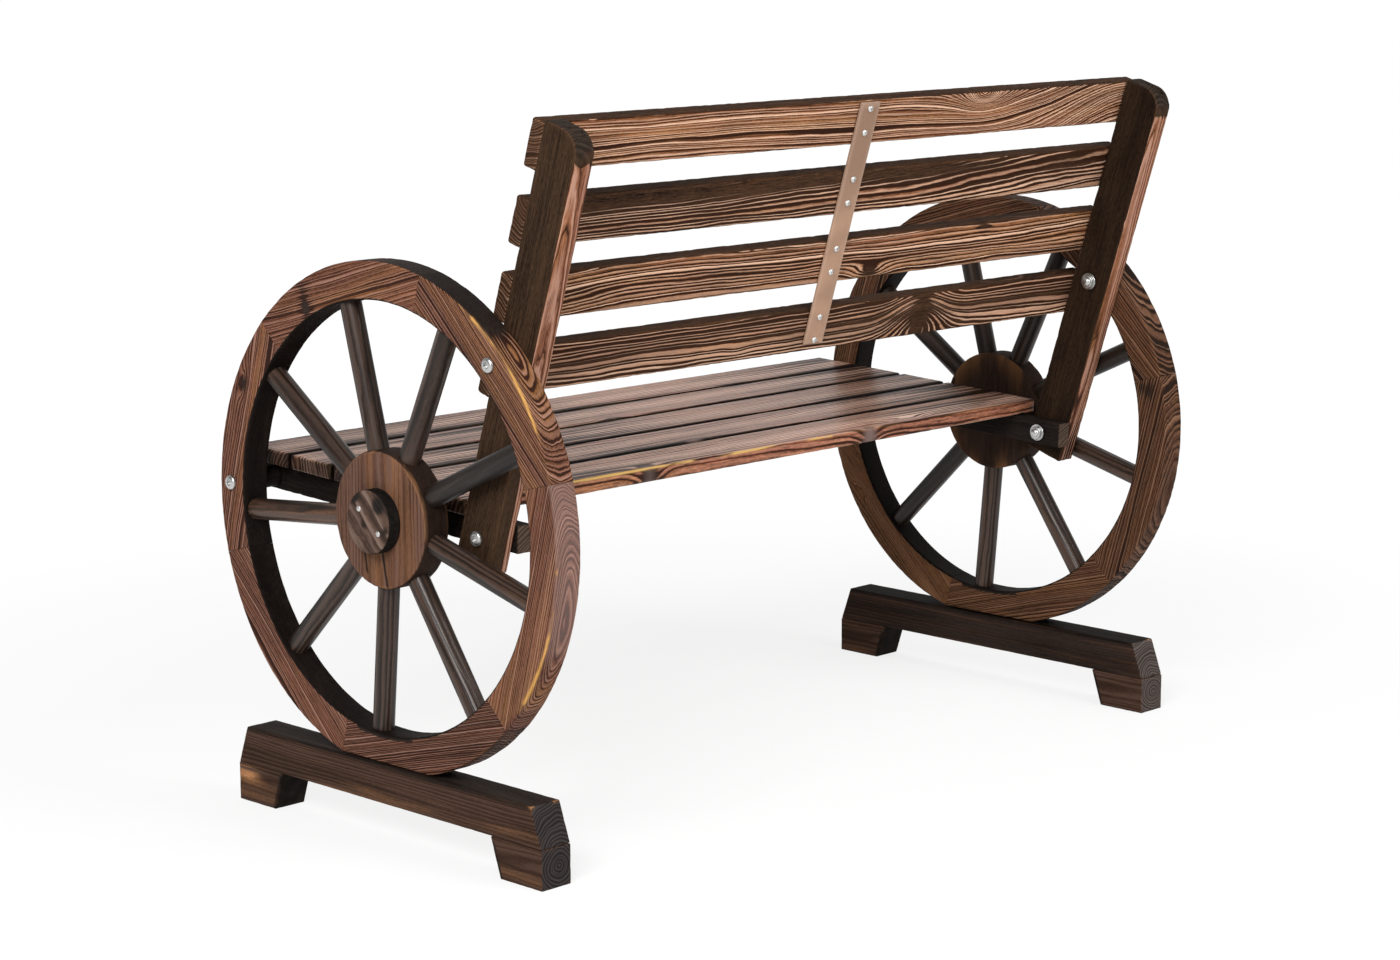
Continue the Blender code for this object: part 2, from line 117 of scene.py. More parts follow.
def weather(item, wear, start, dent=0.0002, chip=0.0012, tight=()):
    """Wears a piece slightly uneven, and its arrises more, but not where it fits tight on another."""
    mesh = item.data
    moved = []
    for number, (vertex, worn) in enumerate(zip(mesh.vertices, wear)):
        spot = vertex.co + Vector((start, start, start))
        depth = dent * (1 + noise.noise(spot * DENTS_PER_METRE))
        depth += chip * worn * max(0.0, noise.noise(spot * CHIPS_PER_METRE))
        depth *= 1 - tight[number] if tight else 1
        moved.extend(vertex.co - vertex.normal * depth)
    mesh.vertices.foreach_set("co", moved)
    mesh.update()
    note(item, "wear", wear)


def outline(width, thickness, edge, steps):
    """Points round a board's section, with a small arc at each arris."""
    arcs = []
    for corner, (side_y, side_z) in enumerate(((1, 1), (-1, 1), (-1, -1), (1, -1))):
        centre = Vector((side_y * (width / 2 - edge), side_z * (thickness / 2 - edge)))
        turns = [math.radians(90 * corner + 30 * part) for part in range(4)]
        arcs.append([centre + edge * Vector((math.cos(turn), math.sin(turn))) for turn in turns])
    points = []
    for corner, arc in enumerate(arcs):
        points += arc
        following = arcs[(corner + 1) % 4][0]
        count = steps[corner % 2]
        points += [arc[-1].lerp(following, k / count) for k in range(1, count)]
    return points


def board(name, size, edge, start, shape=None, step=0.007, dent=0.0002, chip=0.0012, end_edge=None, rub=None,
          sawn=(1.0, 1.0)):
    """A board along X with eased arrises. The shape, where there is one, bends or cuts the straight board.

    The rub says how much an arris is worn, and sawn how bare the two ends are.
    """
    length, width, thickness = size
    steps = [max(2, round(across / SECTION_STEP)) for across in (width, thickness)]
    ease = end_edge or edge
    ends = [(0.0, ease + min(0.004, thickness * 0.2))]
    for part in range(4):
        turn = math.radians(30 * part)
        ends.append((ease * (1 - math.cos(turn)), ease * (1 - math.sin(turn))))
    count = round(length / step)
    stations = [(-length / 2 + back, inset) for back, inset in ends]
    stations += [((length - 2 * ease) * (k / count - 0.5), 0.0) for k in range(1, count)]
    stations += [(length / 2 - back, inset) for back, inset in reversed(ends)]
    straight = []
    for x, inset in stations:
        ring = outline(width - 2 * inset, thickness - 2 * inset, max(edge - inset, 0.0001), steps)
        straight += [Vector((x, y, z)) for y, z in ring]
    wear = []
    end = []
    for point in straight:
        gaps = [size[axis] / 2 - abs(point[axis]) for axis in range(3)]
        if end_edge:
            gaps[0] = length
        wear.append(max(0.0, 1 - sorted(gaps)[1] / WORN_WIDTH) * (rub(point) if rub else 1.0))
        end.append(max(0.0, 1 - gaps[0] / ease) * sawn[point.x > 0])
    item = skin(name, [shape(point) for point in straight] if shape else straight, len(ring))
    tight = ()
    if end_edge:
        tight = [max(0.0, 1 - (length / 2 - abs(point.x)) / TIGHT_REACH) for point in straight]
    weather(item, wear, start, dent, chip, tight)
    note(item, "end", end)
    return item


def patched(x, y, patches):
    """The sum of soft oval patches at a place. Each has its place, length, height and strength."""
    return sum(deep * math.exp(-((x - px) / long) ** 2 - ((y - py) / high) ** 2)
               for px, py, long, high, deep in patches)


def lay_grain(item, heart, start, knots=(), smudges=(), tone=0.5, char=None, turn=None, fine=1.0, tilt=0.0,
              bright=1.0):
    """Says where each point of a piece lay in its log, how its rings bend, how it is burnt, where painted
    shade and sheen go, and its tone.

    The heart is the log's middle across the grain, and the tilt is its slope along the board. A knot is a
    patch that pushes the rings, and a smudge is a burnt patch. Bright says how pale the hard rings are.
    """
    grain = []
    push = []
    burnt = []
    for vertex in item.data.vertices:
        x, y = vertex.co.xy
        along, side, out = vertex.co if turn is None else turn @ vertex.co
        grain += (along + start, (side - heart[0]) * fine, (out - heart[1] + tilt * along) * fine)
        push.append(fine * patched(x, y, knots))
        burnt.append((char(vertex.co) if char else 0.0) + patched(x, y, smudges))
    layer = item.data.attributes.new("grain", "FLOAT_VECTOR", "POINT")
    layer.data.foreach_set("vector", grain)
    note(item, "push", push)
    note(item, "char", burnt)
    for name, value in (("tone", tone), ("bright", bright)):
        note(item, name, [value(vertex.co) if callable(value) else value for vertex in item.data.vertices])


def feed(tree, socket, value):
    """Gives a socket a number, a colour or the result of another node."""
    if isinstance(value, bpy.types.NodeSocket):
        tree.links.new(value, socket)
    else:
        socket.default_value = value


def kept(tree, name):
    """What a mesh keeps for each of its points under this name."""
    reader = tree.nodes.new("ShaderNodeAttribute")
    reader.attribute_name = name
    return reader.outputs["Vector" if name == "grain" else "Fac"]


def calc(tree, operation, *values):
    """One step of arithmetic."""
    step = tree.nodes.new("ShaderNodeMath")
    step.operation = operation
    for socket, value in zip(step.inputs, values):
        feed(tree, socket, value)
    return step.outputs[0]


def vector(tree, operation, *values):
    """One step of arithmetic with places or directions."""
    step = tree.nodes.new("ShaderNodeVectorMath")
    step.operation = operation
    for socket, value in zip(step.inputs, values):
        feed(tree, socket, value)
    return step.outputs


def ramp(tree, value, low, high, start=0.0, stop=1.0):
    """A smooth rise from start to stop while the value goes from low to high."""
    rise = tree.nodes.new("ShaderNodeMapRange")
    rise.interpolation_type = "SMOOTHSTEP"
    for socket, number in zip(rise.inputs, (value, low, high, start, stop)):
        feed(tree, socket, number)
    return rise.outputs[0]


def tint(tree, share, first, second):
    """Two colours mixed by a share."""
    mixer = tree.nodes.new("ShaderNodeMix")
    mixer.data_type = "RGBA"
    feed(tree, mixer.inputs[0], share)
    for socket, colour in zip(mixer.inputs[6:8], (first, second)):
        feed(tree, socket, colour if isinstance(colour, bpy.types.NodeSocket) else (*colour, 1.0))
    return mixer.outputs[2]


def cloud(tree, place, scale, detail=2.0):
    """Soft noise between nought and one."""
    texture = tree.nodes.new("ShaderNodeTexNoise")
    texture.inputs["Scale"].default_value = scale
    texture.inputs["Detail"].default_value = detail
    tree.links.new(place, texture.inputs["Vector"])
    return texture.outputs["Fac"]


def streaks(tree, place, long, wide, detail=2.0):
    """Soft noise about nought, drawn out along the grain. Its waves are this long and this wide."""
    stretched = vector(tree, "MULTIPLY", place, (1 / long, 1 / wide, 1 / wide))[0]
    return calc(tree, "SUBTRACT", cloud(tree, stretched, 1.0, detail), 0.5)


def shaded(tree, colour, strength):
    """A colour made lighter or darker by a factor."""
    scale = tree.nodes.new("ShaderNodeVectorMath")
    scale.operation = "SCALE"
    feed(tree, scale.inputs[0], colour)
    feed(tree, scale.inputs["Scale"], strength)
    return scale.outputs[0]


def blank(name):
    """A new material, its node tree and its shader."""
    material = bpy.data.materials.new(name)
    material.use_nodes = True
    return material, material.node_tree, material.node_tree.nodes["Principled BSDF"]


def emboss(tree, shader, height, depth, strength=1.0):
    """Shows a height as relief of this depth."""
    bump = tree.nodes.new("ShaderNodeBump")
    bump.inputs["Strength"].default_value = strength
    bump.inputs["Distance"].default_value = depth
    tree.links.new(height, bump.inputs["Height"])
    tree.links.new(bump.outputs[0], shader.inputs["Normal"])


def charred_wood(name, wood, gold, crest, soot, smoke, butt, ring=0.0035, char=0.15, spread=0.7, soft=0.14,
                 relief=0.0006, rough=0.6, shine=0.05, bare=0.5, fibre=2.2, pale=0.4, edge=None):
    """Burnt and brushed softwood: the hard rings stand pale and proud, with burnt soft wood between them.

    Smoke is the colour of a face that is burnt all over, butt that of a sawn end and edge that of a worn
    arris. Ring is the width of a year's growth, and its hard wood is thickest at the peak.
    """
    material, tree, shader = blank(name)
    grain = kept(tree, "grain")
    across = vector(tree, "MULTIPLY", grain, (0.0, 1.0, 1.0))[0]
    radius = calc(tree, "ADD", vector(tree, "LENGTH", across)["Value"], kept(tree, "push"))
    radius = calc(tree, "MULTIPLY_ADD", streaks(tree, grain, 0.50, 0.08), 0.030, radius)
    radius = calc(tree, "MULTIPLY_ADD", streaks(tree, grain, 0.09, 0.03), 0.0045, radius)
    radius = calc(tree, "MULTIPLY_ADD", streaks(tree, grain, 0.020, 0.004), 0.0009, radius)
    year = calc(tree, "DIVIDE", radius, ring)
    swell = tree.nodes.new("ShaderNodeTexNoise")
    swell.noise_dimensions = "1D"
    swell.inputs["Scale"].default_value = 0.45
    tree.links.new(year, swell.inputs["W"])
    year = calc(tree, "MULTIPLY_ADD", swell.outputs["Fac"], 2.0, year)
    part = calc(tree, "FRACT", year)
    lot = tree.nodes.new("ShaderNodeTexWhiteNoise")
    lot.noise_dimensions = "1D"
    tree.links.new(calc(tree, "FLOOR", year), lot.inputs["W"])
    lot = lot.outputs["Value"]
    peak = 0.7
    height = calc(tree, "MINIMUM", calc(tree, "DIVIDE", part, peak),
                  calc(tree, "DIVIDE", calc(tree, "SUBTRACT", 1.0, part), 1.0 - peak))
    fibres = streaks(tree, grain, 0.040, 0.0012, 3.0)
    flecks = streaks(tree, grain, 0.006, 0.0016, 2.0)
    level = calc(tree, "ADD", kept(tree, "char"), char)
    level = calc(tree, "MULTIPLY_ADD", streaks(tree, grain, 0.30, 0.022, 3.0), spread, level)
    level = calc(tree, "MULTIPLY_ADD", calc(tree, "SUBTRACT", lot, 0.5), 0.25, level)
    hard = ramp(tree, height, calc(tree, "SUBTRACT", level, soft), calc(tree, "ADD", level, soft))
    warmth = calc(tree, "MULTIPLY_ADD", streaks(tree, grain, 0.22, 0.03), 1.8, kept(tree, "tone"))
    body = tint(tree, ramp(tree, warmth, 0.1, 0.9), wood, gold)
    shade = calc(tree, "MULTIPLY_ADD", fibres, fibre, calc(tree, "MULTIPLY_ADD", lot, 0.4, 0.8))
    shade = calc(tree, "MULTIPLY_ADD", flecks, fibre * 0.7, shade)
    shade = calc(tree, "MULTIPLY_ADD", streaks(tree, grain, 0.16, 0.035), 1.1, shade)
    proud = ramp(tree, calc(tree, "MULTIPLY_ADD", fibres, 0.8, height), pale, pale + 0.5)
    proud = calc(tree, "MULTIPLY", proud, ramp(tree, lot, 0.1, 0.9, 0.35, 1.0))
    proud = calc(tree, "MULTIPLY", proud, kept(tree, "bright"))
    colour = tint(tree, proud, shaded(tree, body, shade), crest)
    colour = tint(tree, hard, soot, colour)
    # Past a level of 1.05 the smoke darkens further, to a fifth at 2; some faces use this for painted shade.
    veil = shaded(tree, smoke, calc(tree, "MULTIPLY", shade, ramp(tree, level, 1.05, 2.0, 1.0, 0.2)))
    colour = tint(tree, ramp(tree, level, 0.5, 1.0, 0.0, 0.95), colour, veil)
    # A negative tone mixes in a pale grey: grey knots on the seat, and a painted sheen on one felloe's
    # tread.
    dust_and_sheen = (0.30, 0.20, 0.18)
    colour = tint(tree, ramp(tree, kept(tree, "tone"), -0.2, -1.0, 0.0, 0.6), colour, dust_and_sheen)
    sawn = shaded(tree, butt, ramp(tree, height, 0.2, 0.9, 0.45, 1.3))
    colour = tint(tree, calc(tree, "MULTIPLY", kept(tree, "end"), 0.9), colour, sawn)
    rubbed = calc(tree, "MULTIPLY", calc(tree, "POWER", kept(tree, "wear"), 4.0),
                  ramp(tree, streaks(tree, grain, 0.10, 0.03, 3.0), -0.06, 0.14, 0.0, bare))
    colour = tint(tree, rubbed, colour, edge or gold)
    tree.links.new(colour, shader.inputs["Base Color"])
    shader.inputs["Specular IOR Level"].default_value = shine
    tree.links.new(calc(tree, "MULTIPLY_ADD", hard, -0.12, rough + 0.10), shader.inputs["Roughness"])
    emboss(tree, shader, calc(tree, "MULTIPLY_ADD", fibres, 0.8, hard), relief)
    return material


def fit_in(item, spot, turn, material, slot, *nodes):
    """Turns a finished piece, moves it to its spot and puts it in the stead of its plain CAD pieces."""
    item.data.transform(Matrix.Translation(spot) @ turn.to_4x4())
    item.data.update()
    item.data.materials.append(material)
    if nodes:
        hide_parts(*nodes)
    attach(item, "root")


SAWN_ENDS = {"left": (0.032, 0.028, 0.028), "right": (0.082, 0.066, 0.060)}
stand_wood = {
    side: charred_wood(f"{side}_stand_wood", (0.060, 0.031, 0.020), (0.34, 0.16, 0.070),
                       (0.080, 0.045, 0.032), (0.022, 0.011, 0.007), (0.021, 0.014, 0.011), butt,
                       ring=0.0060, char=0.30, spread=1.4, soft=0.9, relief=0.0003, bare=0.08)
    for side, butt in SAWN_ENDS.items()
}
for side, wheel_x in SIDES.items():
    for end, outwards in (("front", -1), ("rear", 1)):
        node = f"{side}_{end}_foot"
        turn = axes((0, outwards, 0), (0, 0, 1))
        centre, size = measured(node, turn)

        def slanted(point, size=size):
            back = FOOT_SLANT * (0.5 - point.z / size.z)
            return Vector((point.x + back * (0.5 - point.x / size.x), point.y, point.z))

        start = 3.0 + wheel_x + 0.4 * outwards
        foot = board(f"{node}_block", size, FOOT_EDGE, start, slanted, step=0.005, dent=0.00008, chip=0.0004,
                     sawn=(0.0, 1.0))

        def glow(point, outer=wheel_x * -outwards * size.y / 2, front=end == "front"):
            """A less burnt patch high up on the outer face of a front foot."""
            away = ((point.x - 0.028) / 0.030) ** 2 + ((point.z - 0.012) / 0.009) ** 2
            return math.exp(-away) if front and abs(point.y - outer) < DEEP_SKIN else 0.0

        def foot_burning(point, size=size):
            slant = slanted(Vector((-size.x / 2, 0, point.z))).x
            return 1.4 if point.x < slant + SKIN else -0.05 - 0.8 * glow(point)

        lay_grain(foot, (0.004, 0.002), start, char=foot_burning, fine=1.8,
                  tone=lambda point: 0.10 + 1.0 * glow(point))
        fit_in(foot, centre, turn, stand_wood[side], "stand_wood", node)

# Beams of the stands
# One bar of the same charred softwood under each wheel, with its ends sawn to a slope.
# The flat of the rim rests on it and is screwed down from above, and the feet are screwed to it from below.
BEAM_EDGE = 0.001
BEAM_END_SLOPE = 0.0152
BEAM_TOP = 0.020
BEAM_CORNER = 0.004
# The far beam is made darker all over: painted shade.
BEAM_PAINTED_SHADE = {"left": 0.0, "right": 0.55}
for side, wheel_x in SIDES.items():
    node = f"{side}_stand_beam"
    turn = axes((0, 1, 0), (0, 0, 1))
    centre, size = measured(node, turn)

    def sloped(point, size=size):
        shorter = BEAM_END_SLOPE * 2 / size.x * (0.5 + point.z / size.z)
        return Vector((point.x * (1 - shorter), point.y, point.z))

    def beam_rub(point, size=size):
        high_end = point.x > size.x / 2 - BEAM_CORNER and point.z > size.z / 2 - BEAM_CORNER
        return 2.0 if high_end else 1.0

    start = 5.0 + wheel_x
    beam = board(f"{node}_bar", size, BEAM_EDGE, start, sloped, dent=0.00008, chip=0.0004, rub=beam_rub)
    lay_grain(beam, (0.006, -0.030), start, tone=0.05, fine=1.8,
              char=lambda point: (0.9 if point.z > BEAM_TOP else -0.06) + BEAM_PAINTED_SHADE[side])
    fit_in(beam, centre, turn, stand_wood[side], "stand_wood", node)

# Felloes
# Six sawn arcs of charred fir make each rim, doweled end to end; the grain of each runs along its chord.
# The rim has a flat below, where it rests on the stand's beam.
RIM_WIDTH = 0.041
RIM_THICKNESS = 0.033
RIM_EDGE = 0.0022
FLAT_HALF_ANGLE = math.radians(15)
SEAM_GAP = 0.00005
SEAM_EDGE = 0.0007
FIRST_SEAM = 15
FELLOE_DEGREES = 60
# The rim's inner face is burnt, and made darker still as painted shade.
INNER_SOOT_AND_SHADE = 1.5
TREAD_DEPTH = 0.012
RIND_DEPTH = 0.006
SCORCH_FADE = 0.008
EYE_LENGTH = 0.035
RUBBED_PLACE = -0.02
RUBBED_HALF = 0.07


def box_middle(node):
    """The middle of the box round a CAD piece."""
    low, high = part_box(node)
    return (low + high) / 2


wheel_centre = {}
for side in SIDES:
    wheel_centre[side] = box_middle(f"{side}_hub_cap")
    wheel_centre[side].x = box_middle(f"{side}_felloe_2").x
wheel_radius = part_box("left_felloe_2")[1].z - wheel_centre["left"].z
inner_radius = wheel_radius - RIM_WIDTH
felloe_length = math.radians(FELLOE_DEGREES) * (wheel_radius - RIM_WIDTH / 2) - 2 * SEAM_GAP
felloe_size = (felloe_length, RIM_WIDTH, RIM_THICKNESS)
# The far wheel's rim has its own darker copy of the wood: painted shade.
rim_wood = {
    "left": charred_wood("rim_wood", (0.128, 0.047, 0.026), (0.22, 0.094, 0.034), (0.29, 0.155, 0.112),
                         (0.028, 0.010, 0.006), (0.022, 0.015, 0.012), (0.06, 0.03, 0.02), ring=0.0034,
                         char=0.26, spread=0.8, soft=0.18, shine=0.08, bare=0.66, pale=0.45,
                         edge=(0.55, 0.29, 0.085)),
    "right": charred_wood("shaded_rim_wood", (0.074, 0.029, 0.014), (0.13, 0.055, 0.020),
                          (0.19, 0.100, 0.060), (0.016, 0.007, 0.004), (0.018, 0.012, 0.009),
                          (0.04, 0.02, 0.013), ring=0.0034, char=0.28, spread=0.8, soft=0.18, shine=0.08,
                          bare=0.6, pale=0.45, edge=(0.30, 0.15, 0.05)),
}
FELLOES = {
    ("left", 1): dict(heart=0.020, tone=0.45, tread=0.10, fine=1.6, char=0.10, eye=-0.01,
                      scorch=(0.030, 1.1)),
    ("left", 2): dict(heart=0.060, tone=0.15, tread=0.72, fine=1.1, char=-0.10,
                      smudges=[(0.055, 0.2355, 0.009, 0.030, 0.8)]),
    ("left", 3): dict(heart=0.050, tone=0.10, tread=0.60, knots=[(-0.0586, 0.2477, 0.018, 0.006, -0.008)],
                      smudges=[(-0.0586, 0.2477, 0.010, 0.006, 0.7)]),
    ("left", 4): dict(heart=-0.110, tone=0.05, tread=0.3, char=-0.05),
    ("left", 5): dict(heart=0.080, tone=0.0, tread=0.4, fine=1.6, char=0.22),
    # Felloe 6's tread takes the pale grey of a negative tone: painted sheen.
    ("left", 6): dict(heart=0.015, tone=0.35, tread=0.0, fine=1.5, char=-0.12, eye=-0.09, rind=-0.65),
    ("right", 1): dict(heart=0.040, tone=0.30, tread=0.2),
    ("right", 2): dict(heart=0.060, tone=0.20, tread=0.4),
    ("right", 3): dict(heart=0.050, tone=0.40, tread=0.4),
    ("right", 4): dict(heart=0.020, tone=0.90, tread=0.4, char=-0.18,
                       knots=[(-0.060, 0.241, 0.018, 0.006, -0.008)]),
    ("right", 5): dict(heart=0.070, tone=0.35, tread=0.4, fine=1.5),
    ("right", 6): dict(heart=0.050, tone=0.30, tread=0.0, fine=1.3,
                       smudges=[(0.1126, 0.218, 0.012, 0.012, 0.7)]),
}
for side, wheel_x in SIDES.items():
    for number in range(1, 7):
        node = f"{side}_felloe_{number}"
        middle = math.radians(FIRST_SEAM + FELLOE_DEGREES * (number - 0.5))
        turn = axes((0, -math.sin(middle), math.cos(middle)), (-1, 0, 0))

        def bent(point, middle=middle):
            swing = point.x / (wheel_radius - RIM_WIDTH / 2)
            from_bottom = abs(math.remainder(middle + swing + math.pi / 2, 2 * math.pi))
            reach = wheel_radius
            if from_bottom < FLAT_HALF_ANGLE:
                reach = wheel_radius * math.cos(FLAT_HALF_ANGLE) / math.cos(from_bottom)
            share = 0.5 + point.y / RIM_WIDTH
            distance = inner_radius + share * (reach - inner_radius)
            return Vector((distance * math.sin(swing), distance * math.cos(swing), point.z))

        looks = FELLOES[side, number]

        def burning(point, looks=looks):
            distance = math.hypot(point.x, point.y)
            if distance < inner_radius + DEEP_SKIN:
                return INNER_SOOT_AND_SHADE
            if abs(point.z) < RIM_THICKNESS / 2 - RIM_EDGE and distance > wheel_radius - TREAD_DEPTH:
                place, deep = looks.get("scorch", (0.0, 0.0))
                return looks["tread"] + deep / (1 + math.exp((place - point.x) / SCORCH_FADE))
            return looks.get("char", 0.0)

        start = 10.0 + number + 8 * wheel_x

        def rim_rub(point, bright=(side, number) in (("left", 1), ("left", 6))):
            if point.y < 0:
                return 0.3
            return 1.8 if bright and point.z < 0 and abs(point.x - RUBBED_PLACE) < RUBBED_HALF else 0.8

        felloe = board(f"{node}_arc", felloe_size, RIM_EDGE, start, bent, step=0.005, end_edge=SEAM_EDGE,
                       rub=rim_rub)

        def felloe_tone(point, looks=looks):
            if math.hypot(point.x, point.y) < wheel_radius - RIND_DEPTH:
                return looks["tone"]
            glow = 1.3 * math.exp(-((point.x - looks["eye"]) / EYE_LENGTH) ** 2) if "eye" in looks else 0.0
            return looks.get("rind", looks["tone"]) + glow

        lay_grain(felloe, (wheel_radius + looks["heart"], 0.004), start, knots=looks.get("knots", ()),
                  smudges=looks.get("smudges", ()), tone=felloe_tone, char=burning,
                  fine=looks.get("fine", 1.0))
        fit_in(felloe, wheel_centre[side], turn, rim_wood[side], "rim_wood", node)

# Spokes
# Nine turned rods of charred softwood in each wheel, let into sockets in the hub and in the rim.
SPOKE_DIAMETER = 0.0236
SPOKE_REACH = 0.003
FIRST_SPOKE = 25
SPOKE_SPACING = 40
SPOKE_TONES = {
    "left": (0.1, 0.1, 0.15, 0.2, 0.5, 0.1, 0.1, 0.2, 0.3),
    "right": (0.2, 0.2, 0.2, 0.1, 0.1, 0.2, 0.4, 0.5, 0.3),
}
# How sooty each spoke is; on the far wheel spokes 1 to 6 are darker still, as painted shade.
SPOKE_SOOT_AND_SHADE = {
    "left": (0.7, 0.2, 0.15, 0.25, 0.05, 0.1, 0.15, 0.1, 0.2),
    "right": (0.4, 0.4, 0.4, 0.4, 0.4, 0.4, 0.15, 0.15, 0.15),
}


def turned(name, profile, start, around=48, dent=0.00015, chip=0.0008, turns=None):
    """A round piece turned about X, from rows of place, radius and wear."""
    turns = turns or [2 * math.pi * k / around for k in range(around)]
    points = []
    for x, radius, worn in profile:
        points += [Vector((x, radius * math.cos(turn), radius * math.sin(turn))) for turn in turns]
    item = skin(name, points, len(turns))
    wear = [worn for x, radius, worn in profile for turn in turns]
    weather(item, wear, start, dent, chip)
    note(item, "end", [0.0] * len(wear))
    return item


spoke_wood = charred_wood("spoke_wood", (0.038, 0.021, 0.015), (0.105, 0.050, 0.027), (0.058, 0.036, 0.027),
                          (0.010, 0.006, 0.004), (0.010, 0.006, 0.004), (0.03, 0.02, 0.015), ring=0.005,
                          char=0.25, spread=1.6, soft=0.4, relief=0.0001, rough=0.34, shine=0.3, bare=0.0,
                          fibre=2.2)
hub_low, hub_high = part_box("left_hub")
hub_radius = (hub_high.z - hub_low.z) / 2
for side, wheel_x in SIDES.items():
    for number in range(1, 10):
        node = f"{side}_spoke_{number}"
        angle = math.radians(FIRST_SPOKE + SPOKE_SPACING * (number - 1))
        outwards = Vector((0, math.cos(angle), math.sin(angle)))
        turn = axes(outwards, (1, 0, 0))
        first = hub_radius - SPOKE_REACH
        last = inner_radius + SPOKE_REACH
        profile = [(first + (last - first) * k / 24, SPOKE_DIAMETER / 2, 0.0) for k in range(25)]
        start = 40.0 + number + 12 * wheel_x
        spoke = turned(f"{node}_rod", profile, start, around=32, dent=0.00005)
        soot = SPOKE_SOOT_AND_SHADE[side][number - 1]
        lay_grain(spoke, (0.018, -0.022), start, tone=SPOKE_TONES[side][number - 1], char=lambda point: soot)
        fit_in(spoke, wheel_centre[side], turn, spoke_wood, "spoke_wood", node)

# Hubs
# A turned drum of softwood in the middle of each wheel, as thick as the rim, with the spokes let into it.
# A small boss behind it reaches the seat rail, and a bolt holds the two together.
HUB_EDGE = 0.003
BOSS_RADIUS = 0.012
CRACKS = (((0.003, -0.030), (0.0115, -0.074), 0.0026), ((-0.026, -0.030), (-0.021, -0.062), 0.0024))
CRACK_SHADE_BLACK = (0.010, 0.006, 0.004)
HUB_START = {"left": 7.5, "right": 6.5}
HUB_HEART = (0.010, -0.055)
# Burnt on the sides of drum and cap; on the hub's inner face, painted shade.
HUB_SOOT_AND_SHADE = 1.2
HUB_SCORCHES = ((0.045, 0.030, 0.022, 0.030, 0.35), (-0.052, -0.028, 0.018, 0.030, 0.30))
BEVEL = 0.0005
FACING = {"left": Matrix.Identity(3), "right": Matrix.Rotation(math.pi, 3, "Z")}


def split(material, upper, lower, half):
    """Paints one drying crack along the grain, between two places across and up the hub; its black is
    painted shade inside the crack.
    """
    tree = material.node_tree
    shader = tree.nodes["Principled BSDF"]
    grain = kept(tree, "grain")
    parts = tree.nodes.new("ShaderNodeSeparateXYZ")
    tree.links.new(grain, parts.inputs[0])
    lean = (lower[0] - upper[0]) / (lower[1] - upper[1])
    upright = calc(tree, "SUBTRACT", parts.outputs[0], HUB_START["left"] + upper[1])
    line = calc(tree, "MULTIPLY_ADD", upright, -lean, parts.outputs[1])
    away = calc(tree, "ABSOLUTE", calc(tree, "SUBTRACT", line, upper[0] - HUB_HEART[0]))
    away = calc(tree, "MULTIPLY_ADD", streaks(tree, grain, 0.012, 0.004), 0.0012, away)
    inside = calc(tree, "MULTIPLY", ramp(tree, upright, lower[1] - upper[1], lower[1] - upper[1] + 0.006),
                  ramp(tree, upright, 0.0, 0.004, 1.0, 0.0))
    share = calc(tree, "MULTIPLY", inside, ramp(tree, away, half * 0.3, half, 0.92, 0.0))
    before = shader.inputs["Base Color"].links[0].from_socket
    tree.links.new(tint(tree, share, before, CRACK_SHADE_BLACK), shader.inputs["Base Color"])


def hub_burning_and_shade(point):
    """Burnt dark on the drum's side, dark as painted shade on its inner face, with two scorched patches on
    the outer face.
    """
    if math.hypot(point.y, point.z) > hub_radius - SKIN or point.x < 0:
        return HUB_SOOT_AND_SHADE
    return patched(point.y, point.z, HUB_SCORCHES)


def hub_tone(point):
    """Golden streaks: one above the cap, one below it and a faint one towards the rear."""
    above = math.exp(-((point.y + 0.014) / 0.005) ** 2) if point.z > 0.02 else 0.0
    below = math.exp(-((point.y + 0.006) / 0.016) ** 2) if point.z < -0.03 else 0.0
    return 0.10 + 0.9 * above + 0.7 * below + 0.35 / (1 + math.exp((0.010 - point.y) / 0.006))


def eased(radius, edge, parts):
    """Depths and radii round the eased arris of a turned piece, from its face to its side."""
    turns = [math.radians(90 / parts * part) for part in range(parts + 1)]
    return [(edge * (1 - math.cos(turn)), radius - edge * (1 - math.sin(turn))) for turn in turns]


